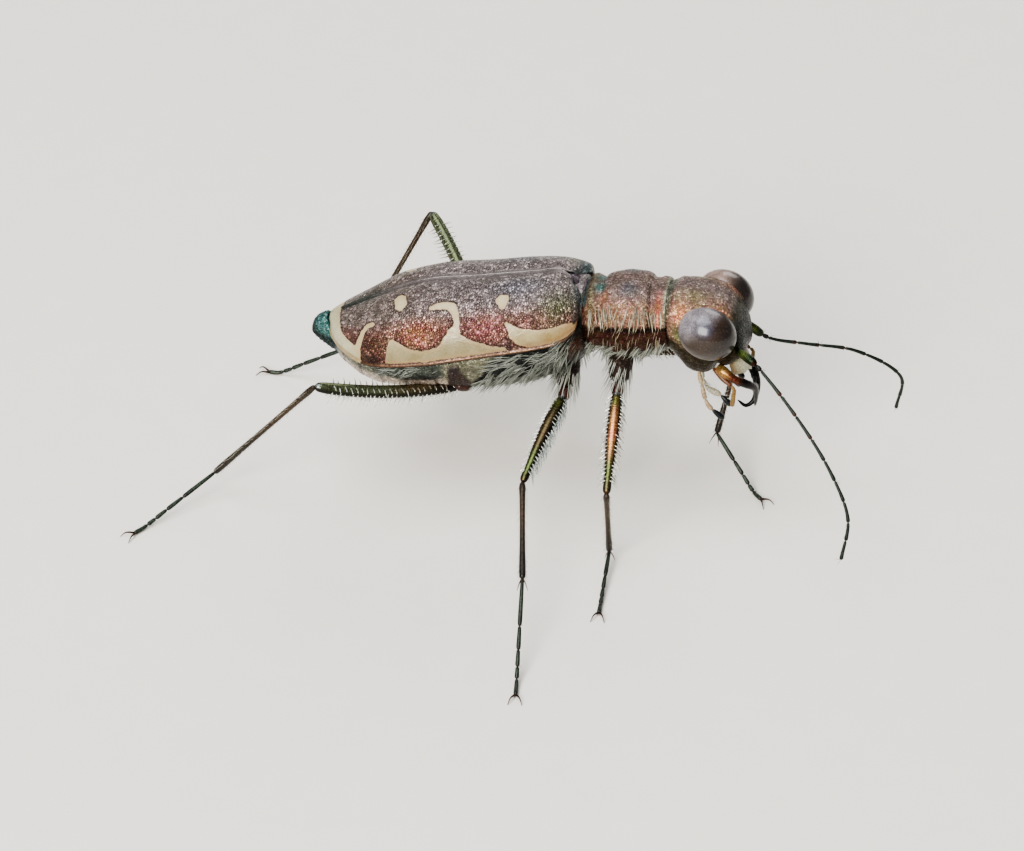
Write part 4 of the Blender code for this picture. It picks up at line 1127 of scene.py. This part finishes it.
def make_leg(pair, side, materials):
    name, hind = f"leg_{pair}_{side}", pair == "hind"
    hip, knee, ankle, tip = leg_joints(pair, side)
    root = moved(mirror(COXAE[pair], side), BODY)
    toward, ahead = unit(knee - hip), unit(ankle - knee)

    def segment(piece, points, shape, tint, material, count=28, sides=20, setae=(), spurs=()):
        """Makes one segment along its points, with its setae and spurs, in place of its solid."""
        builder = Builder()
        total = length_of(points)
        t, radii = rounded(shape, total, count)
        tints = tint(t) if callable(tint) else np.tile(tint, (count, 1))
        builder.add_tube(along_route(points, t), radii, sides, tint=tints, run=(t * total)[:, None])
        parts = np.linspace(0, 1, 40)
        for row in setae:
            rows_of_setae(builder, along_route(points, parts), smooth(shape, parts), **row)
        for spur in spurs:
            builder.add_thorn(spur, 7, (0.028, 0.006), 8, (0.05, 0.025, 0.015))
        builder.finish(f"{name}_{piece}_fine", IDENTITY, materials[material],
                       [f"{name}_{piece}"])

    end = hip - unit(hip - root) * 0.1
    segment("coxa", np.linspace(root, end, 5), COXA_SHAPE, (0.03, 0.02, 0.015), "cuticle")
    bead = np.linspace(hip - toward * 0.22, hip + toward * (0.5 if hind else 0.3), 5)
    segment("trochanter", bead, TROCHANTER_SHAPE, (0.028, 0.008, 0.005), "horn", 16)
    start, t = hip + toward * 0.12, np.linspace(0, 1, 30)[:, None]
    line = start + (knee - start) * t + np.array(FEMUR_BOW[pair, side], float) * 4 * t * (1 - t)
    segment("femur", line, HIND_FEMUR_SHAPE if hind else FEMUR_SHAPE, lambda s: femur_tint(s, pair),
            "green_metal", 40, FEMUR_SIDES, femur_setae(pair, side))
    shin = np.linspace(knee - ahead * 0.02, ankle, 12)
    shin_rows = [dict(turns=(60, -60, 130, -130), spacing=0.15, length=0.16, lean=1.0,
                      colour=(0.35, 0.32, 0.26))]
    spread = unit(np.cross(ankle - knee, [0, 0, 1.0]))
    spurs = [[ankle - ahead * 0.06, ankle + ahead * 0.18 + spread * turn * 0.1,
              ankle + ahead * 0.38 + spread * turn * 0.15] for turn in (-1, 1)]
    segment("tibia", shin, TIBIA_SHAPE, tibia_tint, "leg_dark", 36, 16, shin_rows, spurs)
    make_tarsus(name, ankle, tip, materials)


def make_tarsus(name, ankle, tip, materials):
    """Five segments, each wider at its far end, then two claws on the floor."""
    run = unit((tip - ankle) * [1, 1, 0])
    rest = tip - run * CLAW * 0.8 + [0, 0, 0.07]
    bend = rest - run * 0.35 + [0, 0, 0.03]
    slope = [ankle * 0.66 + bend * 0.34, ankle * 0.33 + bend * 0.67]
    points = smooth_route([ankle, *slope, bend, rest], 60)
    builder = Builder()
    for start, end in zip(TARSUS_ENDS, TARSUS_ENDS[1:]):
        spots, radii, t, place = joint(points, start, end, TARSUS_SHAPE)
        spots[:, 2] = np.maximum(spots[:, 2], radii + 0.003)
        tint = blend((0.014, 0.016, 0.013), (0.03, 0.04, 0.028), bell(t, 0.5, 0.3))
        builder.add_tube(spots, radii, JOINT_RINGS, tint=tint, run=place)
        lean = unit(spots[-1] - spots[0]) + RANDOM.normal(0, 0.55, (6, 3)) - [0, 0, 0.2]
        add_hairs(builder, np.repeat(spots[-3:-2], 6, axis=0), lean, 0.14, 0.007,
                  colour=(0.05, 0.05, 0.04))
    across = np.cross(run, [0, 0, 1.0])
    for turn in (-1, 1):
        root = rest - run * 0.02 + across * turn * 0.02
        claw = [root, rest + run * CLAW * 0.45 + across * turn * 0.13 + [0, 0, 0.06],
                rest + run * CLAW * 0.8 + across * turn * 0.2 + [0, 0, -0.055]]
        builder.add_thorn(claw, 11, (0.036, 0.008), 8, (0.03, 0.015, 0.01))
    builder.finish(f"{name}_tarsus_fine", IDENTITY, materials["leg_dark"],
                   [f"{name}_tarsus"])


# The coat of setae on the body.

def clumped(places, scale):
    """A smooth wandering direction that neighbouring hairs share, so that they lie in locks."""
    made = np.zeros(places.shape)
    for k in range(3):
        for turn in range(3):
            wave = RANDOM.normal(0, 1, 3) / scale
            made[:, k] += np.sin(places @ wave * 2 + turn * 2.1 + k)
    return made / 2


def coat(name, materials, grid, count, rows, turns, length, thick, colour, down, stand, lock=0.35,
         sweep=0.35, backward=1.0, covers=None, strands=1):
    """Setae on both sides of a ringed part of the body.

    rows is where they stand, as parts of its length, and turns how far round from the top, in
    degrees. They lean backward, down and off the skin (stand), in locks of a size in mm that sweep
    aside. covers says which are kept, by their place along the body and their turn.
    """
    total_rows, columns = grid.shape[:2]
    normals = grid_normals(grid, True)
    builder = Builder()
    for side in (1, -1):
        r = np.repeat(RANDOM.uniform(*rows, count // strands), strands) * (total_rows - 2)
        turn = np.repeat(RANDOM.uniform(*turns, count // strands), strands)
        count = len(r)
        if strands > 1:
            r = np.clip(r + RANDOM.normal(0, 0.9, count), 0, total_rows - 2)
            turn = turn + RANDOM.normal(0, 1.6, count)
        c = (turn if side > 0 else 360 - turn) / 360 * columns
        places, out, back = sample(grid, normals, r, c)
        lower = unit(np.cross(out, back)) * -side
        lower = np.where(lower[:, 2:3] > 0, -lower, lower)
        direction = back * backward + lower * down + out * stand + clumped(places, lock) * sweep
        direction += RANDOM.normal(0, 0.07, (count, 3))
        inward = np.einsum("ij,ij->i", unit(direction), out)
        direction += out * np.maximum(0.12 - inward, 0)[:, None]
        lengths = RANDOM.uniform(*length, count)
        tint = np.asarray(colour) * (0.2 + 1.05 * RANDOM.uniform(0, 1, (count, 1)) ** 0.8)
        patch = np.stack([r / total_rows * 0.98, c / columns * 0.98], axis=1)
        kept = np.ones(count, bool) if covers is None else covers(places[:, 0], turn)
        add_hairs(builder, (places - out * 0.01)[kept], direction[kept], lengths[kept], thick,
                  bend=([0, 0, -0.12] - out * 0.12)[kept], colour=tint[kept], bake=patch[kept])
    builder.finish(name, BODY, materials["hair"])


def make_coat(trunk, prothorax, materials):
    # The two coats along the thorax's flank are darker than the white hair itself: painted shade
    # among the hairs.
    shaded = dict(rows=(0.02, 0.43), thick=0.0155, colour=(0.28, 0.3, 0.255), lock=0.3, strands=4,
                  covers=lambda x, turn: x > plate_edge(turn) + 0.1)
    coat("coat_thorax", materials, trunk, 620, turns=(104, 158), length=(0.4, 0.68), down=0.75,
         stand=0.1, sweep=0.5, **shaded)
    coat("coat_upper", materials, trunk, 380, turns=(84, 110), length=(0.4, 0.7), down=0.1,
         stand=0.05, sweep=0.4, **shaded)
    coat("coat_abdomen", materials, trunk, 150, (0.47, 0.73), (90, 106), (0.2, 0.36), 0.011,
         (0.4, 0.42, 0.38), 0.15, 0.04, lock=0.5, covers=lambda x, turn: (x < -4.0) & (x > -6.0))
    coat("coat_prothorax", materials, prothorax, 75, (0.14, 0.95), (50, 76), (0.3, 0.46), 0.016,
         (0.58, 0.52, 0.38), 1.0, 0.22, lock=0.6, sweep=0.45, backward=0.05)
    coat("coat_flank", materials, prothorax, 50, (0.1, 0.95), (76, 112), (0.2, 0.34), 0.013,
         (0.4, 0.34, 0.22), 1.0, 0.3, lock=0.8, sweep=0.5, backward=-0.3)
    coat("coat_breast", materials, prothorax, 340, (0.1, 0.98), (112, 172), (0.3, 0.55), 0.014,
         (0.42, 0.44, 0.37), 0.5, 0.3, lock=0.4, sweep=0.4, backward=-0.5, strands=2)
    builder = Builder()
    for pair, side in LEGS:
        if pair == "hind":
            continue
        hip = moved(mirror(HIPS[pair], side), BODY)
        root = moved(mirror(COXAE[pair], side), BODY)
        count = 150 if pair == "middle" else 100
        t = RANDOM.uniform(0.2, 0.95, count)[:, None]
        axis = unit(hip - root)
        out = RANDOM.normal(0, 1, (count, 3))
        out = unit(out - axis * (out @ axis)[:, None])
        places = root + (hip - root) * t + out * (smooth(COXA_SHAPE, t) * 0.9)
        direction = axis * 1.2 + out * 0.45 + [-0.25, 0, -0.3]
        first = 0.35 if pair == "front" else 0
        patch = np.stack([t[:, 0] * 0.3 + first, RANDOM.uniform(0, 0.98, count)], axis=1)
        add_hairs(builder, places, direction, RANDOM.uniform(0.35, 0.65, count), 0.014,
                  bend=[0, 0, -0.15], colour=(0.5, 0.52, 0.46), bake=patch)
    builder.finish("coat_coxae", IDENTITY, materials["hair"])


# Materials.

def node(tree, kind, inputs=None, **settings):
    """A shader node; an input is a number, a colour or another node's socket."""
    made = tree.nodes.new(kind)
    for key, value in settings.items():
        setattr(made, key, value)
    for key, value in (inputs or {}).items():
        socket = made.inputs[key]
        if isinstance(value, bpy.types.NodeSocket):
            tree.links.new(value, socket)
        else:
            socket.default_value = value
    return made


def new_material(name, **constants):
    """A material with constant values on its shader's sockets, its tree and its shader."""
    material = bpy.data.materials.new(name)
    material.use_nodes = True
    shader = material.node_tree.nodes["Principled BSDF"]
    for key, value in constants.items():
        shader.inputs[key.replace("_", " ")].default_value = value
    return material, material.node_tree, shader


def feed(tree, shader, **sockets):
    """Links nodes' sockets to the shader's."""
    for key, value in sockets.items():
        tree.links.new(value, shader.inputs[key.replace("_", " ")])


def maths(tree, operation, a, b=0.0, c=0.0):
    return node(tree, "ShaderNodeMath", {0: a, 1: b, 2: c}, operation=operation).outputs[0]


def mix(tree, part, a, b):
    inputs = {"Factor": part, "A": a, "B": b}
    return node(tree, "ShaderNodeMix", inputs, data_type="RGBA").outputs["Result"]


def between(tree, value, low, high, to_low=0.0, to_high=1.0):
    """to_low where the value is low, to_high where it is high, and smooth between."""
    inputs = {"Value": value, "From Min": low, "From Max": high, "To Min": to_low,
              "To Max": to_high}
    return node(tree, "ShaderNodeMapRange", inputs,
                interpolation_type="SMOOTHSTEP").outputs["Result"]


def noise(tree, place, size_mm, detail=3.0, roughness=0.55):
    inputs = {"Vector": place, "Scale": 1 / (size_mm * MM), "Detail": detail,
              "Roughness": roughness}
    return node(tree, "ShaderNodeTexNoise", inputs).outputs["Fac"]


def cells(tree, place, size_mm, feature="F1"):
    inputs = {"Vector": place, "Scale": 1 / (size_mm * MM)}
    return node(tree, "ShaderNodeTexVoronoi", inputs, feature=feature)


def object_place(tree):
    return node(tree, "ShaderNodeTexCoord").outputs["Object"]


def attribute(tree, name, output="Fac"):
    return node(tree, "ShaderNodeAttribute", attribute_name=name).outputs[output]


def tint_of(tree):
    return attribute(tree, "tint", "Color")


def shifted(tree, colour, value, saturation=1.0, hue=0.5):
    inputs = {"Color": colour, "Value": value, "Saturation": saturation, "Hue": hue}
    return node(tree, "ShaderNodeHueSaturation", inputs).outputs["Color"]


def grains_with_painted_glints(tree, colour, place, size_mm, strength, dull, painted_gap_shade):
    """Colour in small grains, each of its own brightness and hue; the brightest are whitened as
    painted glints, and the darker gaps between them are painted shade.

    It also returns the grains' height and a number for each grain, from 0 to 1.
    """
    cell = cells(tree, place, size_mm)
    parts = node(tree, "ShaderNodeSeparateColor", {"Color": cell.outputs["Color"]}).outputs
    edges = cells(tree, place, size_mm, "DISTANCE_TO_EDGE").outputs["Distance"]
    inside = between(tree, edges, 0.0, 0.16)
    # The brightest grains are painted glints, and the gaps are darkened as painted shade.
    value = maths(tree, "MULTIPLY_ADD", maths(tree, "POWER", parts["Red"], 3.0), strength, dull)
    value = maths(tree, "MULTIPLY", value, between(tree, inside, 0, 1, painted_gap_shade, 1.0))
    hue = maths(tree, "MULTIPLY_ADD", parts["Green"], 0.05, 0.475)
    glint_whitening = between(tree, parts["Red"], 0.6, 1.0, 1.05, 0.85)
    height = maths(tree, "MULTIPLY", inside, maths(tree, "SUBTRACT", 1.0, cell.outputs["Distance"]))
    return shifted(tree, colour, value, glint_whitening, hue), height, parts["Blue"]


def bump(tree, height, distance_mm, strength=1.0, before=None):
    inputs = {"Height": height, "Distance": distance_mm * MM, "Strength": strength}
    if before is not None:
        inputs["Normal"] = before
    return node(tree, "ShaderNodeBump", inputs).outputs["Normal"]


def wing_case_material():
    """Pitted metal with cream marks, whose edges wander a little; its grains carry painted glints,
    with painted shade in the gaps between them.
    """
    material, tree, shader = new_material("wing_case_fine", IOR=1.5)
    place = object_place(tree)
    wander = maths(tree, "SUBTRACT", noise(tree, place, 0.12), 0.5)
    distance = maths(tree, "MULTIPLY_ADD", wander, 0.09, attribute(tree, "cream"))
    cream = between(tree, distance, 0.014, -0.014)
    many = attribute(tree, "pits")
    # Grains with painted glints, and painted shade in the gaps between them.
    grains, height, own = grains_with_painted_glints(tree, tint_of(tree), place, 0.075, 1.9, 0.62, 0.5)
    ground = mix(tree, many, shifted(tree, tint_of(tree), 0.9, 0.85), grains)
    ground = shifted(tree, ground, between(tree, noise(tree, place, 0.4), 0.3, 0.7, 0.86, 1.14))
    beside = maths(tree, "MULTIPLY", between(tree, distance, 0.09, 0.01), 0.6)
    ground = mix(tree, beside, ground, (0.02, 0.009, 0.007, 1))
    pale = attribute(tree, "pale", "Color")
    patchy = between(tree, noise(tree, place, 0.4), 0.35, 0.7)
    pale = mix(tree, patchy, pale, shifted(tree, pale, 0.8, 1.15))
    pale = mix(tree, between(tree, distance, -0.14, -0.01, 0.0, 0.45), pale, (0.33, 0.22, 0.11, 1))
    pale = mix(tree, between(tree, own, 0.8, 1.0, 0.0, 0.25), pale, (0.3, 0.2, 0.1, 1))
    high = maths(tree, "MULTIPLY", height, between(tree, cream, 0, 1, 1.0, 0.12))
    normal = bump(tree, maths(tree, "MULTIPLY", high, many), 0.03, 0.9)
    feed(tree, shader, Base_Color=mix(tree, cream, ground, pale),
         Metallic=between(tree, cream, 0, 1, 0.65, 0.0),
         Roughness=between(tree, own, 0, 1, 0.24, 0.5),
         Normal=bump(tree, noise(tree, place, 0.03), 0.006, 0.4, normal))
    return material


def cuticle_material(name="cuticle_fine", striae=False):
    """Bronze cuticle with fine wrinkles, painted glints and painted shade between its grains; on
    the head also fine lines round the eyes.
    """
    material, tree, shader = new_material(name, Metallic=0.7, IOR=1.5, Specular_IOR_Level=0.12)
    place = object_place(tree)
    colour, height, own = grains_with_painted_glints(tree, tint_of(tree), place, 0.055, 1.3, 0.72, 0.65)
    mottle = between(tree, noise(tree, place, 0.28), 0.32, 0.68, 0.8, 1.2)
    hue = between(tree, noise(tree, place, 0.2), 0.3, 0.7, 0.48, 0.52)
    stretched = node(tree, "ShaderNodeMapping", {"Vector": place, "Scale": (0.45, 1, 1)})
    normal = bump(tree, noise(tree, stretched.outputs["Vector"], 0.07, 5.0, 0.65), 0.05, 0.9)
    normal = bump(tree, noise(tree, place, 0.25), 0.07, 0.7, normal)
    normal = bump(tree, height, 0.012, 0.7, normal)
    if striae:
        rings = attribute(tree, "rings")
        turns = maths(tree, "MULTIPLY", rings, 105.0)
        wave = maths(tree, "SINE", maths(tree, "MULTIPLY_ADD", noise(tree, place, 0.3), 6.0, turns))
        near = between(tree, rings, 1.6, 1.15)
        normal = bump(tree, maths(tree, "MULTIPLY", wave, near), 0.008, 0.5, normal)
    feed(tree, shader, Base_Color=shifted(tree, colour, mottle, 0.95, hue),
         Roughness=between(tree, own, 0, 1, 0.25, 0.5), Normal=normal)
    return material


def eye_material():
    """Dark glossy eyes of very many small lenses."""
    material, tree, shader = new_material("eye_fine", Roughness=0.34, IOR=1.45, Coat_Weight=0.5,
                                          Specular_IOR_Level=0.3, Coat_Roughness=0.15)
    place = object_place(tree)
    facets = cells(tree, place, 0.028).outputs["Distance"]
    patchy = between(tree, noise(tree, place, 0.3), 0.35, 0.65, 0.75, 1.25)
    colour = shifted(tree, tint_of(tree), patchy)
    speckle = between(tree, noise(tree, place, 0.05), 0.5, 0.75, 0.0, 0.35)
    colour = mix(tree, speckle, colour, (0.16, 0.11, 0.07, 1))
    colour = mix(tree, between(tree, facets, 0.35, 0.6, 0.0, 0.5), colour, (0.01, 0.008, 0.008, 1))
    feed(tree, shader, Base_Color=colour, Normal=bump(tree, facets, 0.004, 0.3))
    return material


def limb_material(name, metallic, roughness, depth_mm, vary):
    """Smooth cuticle coloured by its tint, with wrinkles that run round the limb and painted shade
    in their grooves.
    """
    material, tree, shader = new_material(name, Metallic=metallic, IOR=1.5, Specular_IOR_Level=0.3)
    place = object_place(tree)
    grain = noise(tree, place, 0.05, 4.0)
    along = maths(tree, "MULTIPLY", attribute(tree, "run"), 22.0)
    along = maths(tree, "MULTIPLY_ADD", noise(tree, place, 0.1), 1.2, along)
    wrinkle = node(tree, "ShaderNodeTexNoise", {"W": along, "Scale": 1.0, "Detail": 2.0},
                   noise_dimensions="1D").outputs["Fac"]
    hue = between(tree, noise(tree, place, 0.3), 0.3, 0.7, 0.485, 0.515)
    # The colour darkens in the wrinkles' grooves and lightens on their ridges: painted shade that
    # follows the bumps.
    value = maths(tree, "MULTIPLY", between(tree, grain, 0.3, 0.7, 1 - vary, 1 + vary),
                  between(tree, wrinkle, 0.3, 0.7, 0.8, 1.15))
    normal = bump(tree, wrinkle, depth_mm, 0.6)
    feed(tree, shader, Base_Color=shifted(tree, tint_of(tree), value, 1.0, hue),
         Roughness=between(tree, grain, 0.3, 0.7, roughness - 0.06, roughness + 0.1),
         Normal=bump(tree, grain, depth_mm * 0.5, 0.5, normal))
    return material


def hair_material():
    """Pale glossy hair of uneven brightness."""
    material, tree, shader = new_material("hair_fine", Roughness=0.35, IOR=1.5)
    value = between(tree, noise(tree, object_place(tree), 0.25), 0.3, 0.7, 0.75, 1.1)
    feed(tree, shader, Base_Color=shifted(tree, tint_of(tree), value))
    return material


def make_materials():
    return {
        "wing_case": wing_case_material(),
        "cuticle": cuticle_material(),
        "head": cuticle_material("head_fine", striae=True),
        "eye": eye_material(),
        "horn": limb_material("horn_fine", 0.0, 0.26, 0.008, 0.25),
        "mandible": limb_material("mandible_fine", 0.6, 0.22, 0.008, 0.25),
        "green_metal": limb_material("green_metal_fine", 0.85, 0.28, 0.012, 0.22),
        "leg_dark": limb_material("leg_dark_fine", 0.4, 0.28, 0.015, 0.35),
        "hair": hair_material(),
    }


# The camera, the floor and the light.

def make_camera():
    """A camera that looks at the beetle as the photograph does."""
    a, e = math.radians(AZIMUTH), math.radians(ELEVATION)
    right = Vector((math.cos(a), math.sin(a), 0))
    up = Vector((-math.sin(a) * math.sin(e), math.cos(a) * math.sin(e), math.cos(e)))
    ahead = Vector((-math.sin(a) * math.cos(e), math.cos(a) * math.cos(e), -math.sin(e)))
    place = (Vector(AIM) - ahead * FAR_OFF + Vector(SHIFT)) * MM
    camera = bpy.data.objects.new("camera", bpy.data.cameras.new("camera"))
    camera.matrix_world = Matrix((*zip(right, up, -ahead, place), (0, 0, 0, 1)))
    camera.data.lens, camera.data.sensor_width = LENS, SENSOR
    camera.data.clip_start, camera.data.clip_end = 0.001, 10
    bpy.context.scene.collection.objects.link(camera)
    bpy.context.scene.camera = camera


def make_light(name, azimuth, elevation, size, power, colour):
    """A square soft light that faces the beetle; angles are as the camera's."""
    a, e = math.radians(azimuth), math.radians(elevation)
    back = Vector((math.sin(a) * math.cos(e), -math.cos(a) * math.cos(e), math.sin(e)))
    light = bpy.data.lights.new(name, "AREA")
    light.size, light.energy, light.color = size, power, colour
    obj = bpy.data.objects.new(name, light)
    obj.location = back * LIGHTS_OFF
    obj.rotation_mode = "QUATERNION"
    obj.rotation_quaternion = back.to_track_quat("Z", "Y")
    bpy.context.scene.collection.objects.link(obj)


def make_stage():
    """A pale floor, a dim sky, three soft lights, and a look with more contrast."""
    bpy.context.scene.view_settings.look = "AgX - Medium High Contrast"
    mesh = bpy.data.meshes.new("floor")
    corners = [(x * FLOOR_HALF, y * FLOOR_HALF, 0) for x, y in ((-1, -1), (1, -1), (1, 1), (-1, 1))]
    mesh.from_pydata(corners, [], [(0, 1, 2, 3)])
    material, tree, shader = new_material("floor_fine", Roughness=0.8, Specular_IOR_Level=0.2)
    grain = noise(tree, object_place(tree), 1.2)
    feed(tree, shader, Base_Color=mix(tree, grain, (0.66, 0.63, 0.58, 1), (0.7, 0.67, 0.62, 1)))
    mesh.materials.append(material)
    floor = bpy.data.objects.new("floor", mesh)
    bpy.context.scene.collection.objects.link(floor)
    world = bpy.data.worlds.new("world")
    bpy.context.scene.world = world
    world.use_nodes = True
    background = world.node_tree.nodes["Background"]
    background.inputs["Color"].default_value = (0.9, 0.94, 1.0, 1)
    background.inputs["Strength"].default_value = 0.22
    make_light("key", -16, 36, 0.16, 1.65, (1.0, 0.97, 0.92))
    make_light("overhead", -60, 76, 0.22, 0.9, (0.92, 0.96, 1.0))
    make_light("rim", 170, 35, 0.15, 0.3, (1.0, 0.98, 0.95))


def place_frames():
    """The solids stand centred on the origin, so everything here shifts to where their eye lies."""
    low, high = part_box("eye_right")
    centre = (np.array(low) + np.array(high)) / 2 / MM
    SHIFT[:] = (centre - moved(mirror(EYE_PLACE, "right"), HEAD_FRAME)) * [1, 1, 0]


def main():
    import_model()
    place_frames()
    make_camera()
    make_stage()
    materials = make_materials()
    for side in SIDES:
        make_wing_case(side, materials)
    trunk = make_trunk(materials)
    prothorax = make_prothorax(materials)
    make_scutellum(materials)
    make_head(materials)
    make_labrum(materials)
    make_mandibles(materials)
    make_palps(materials)
    make_antennae(materials)
    for pair, side in LEGS:
        make_leg(pair, side, materials)
    make_coat(trunk, prothorax, materials)


main()
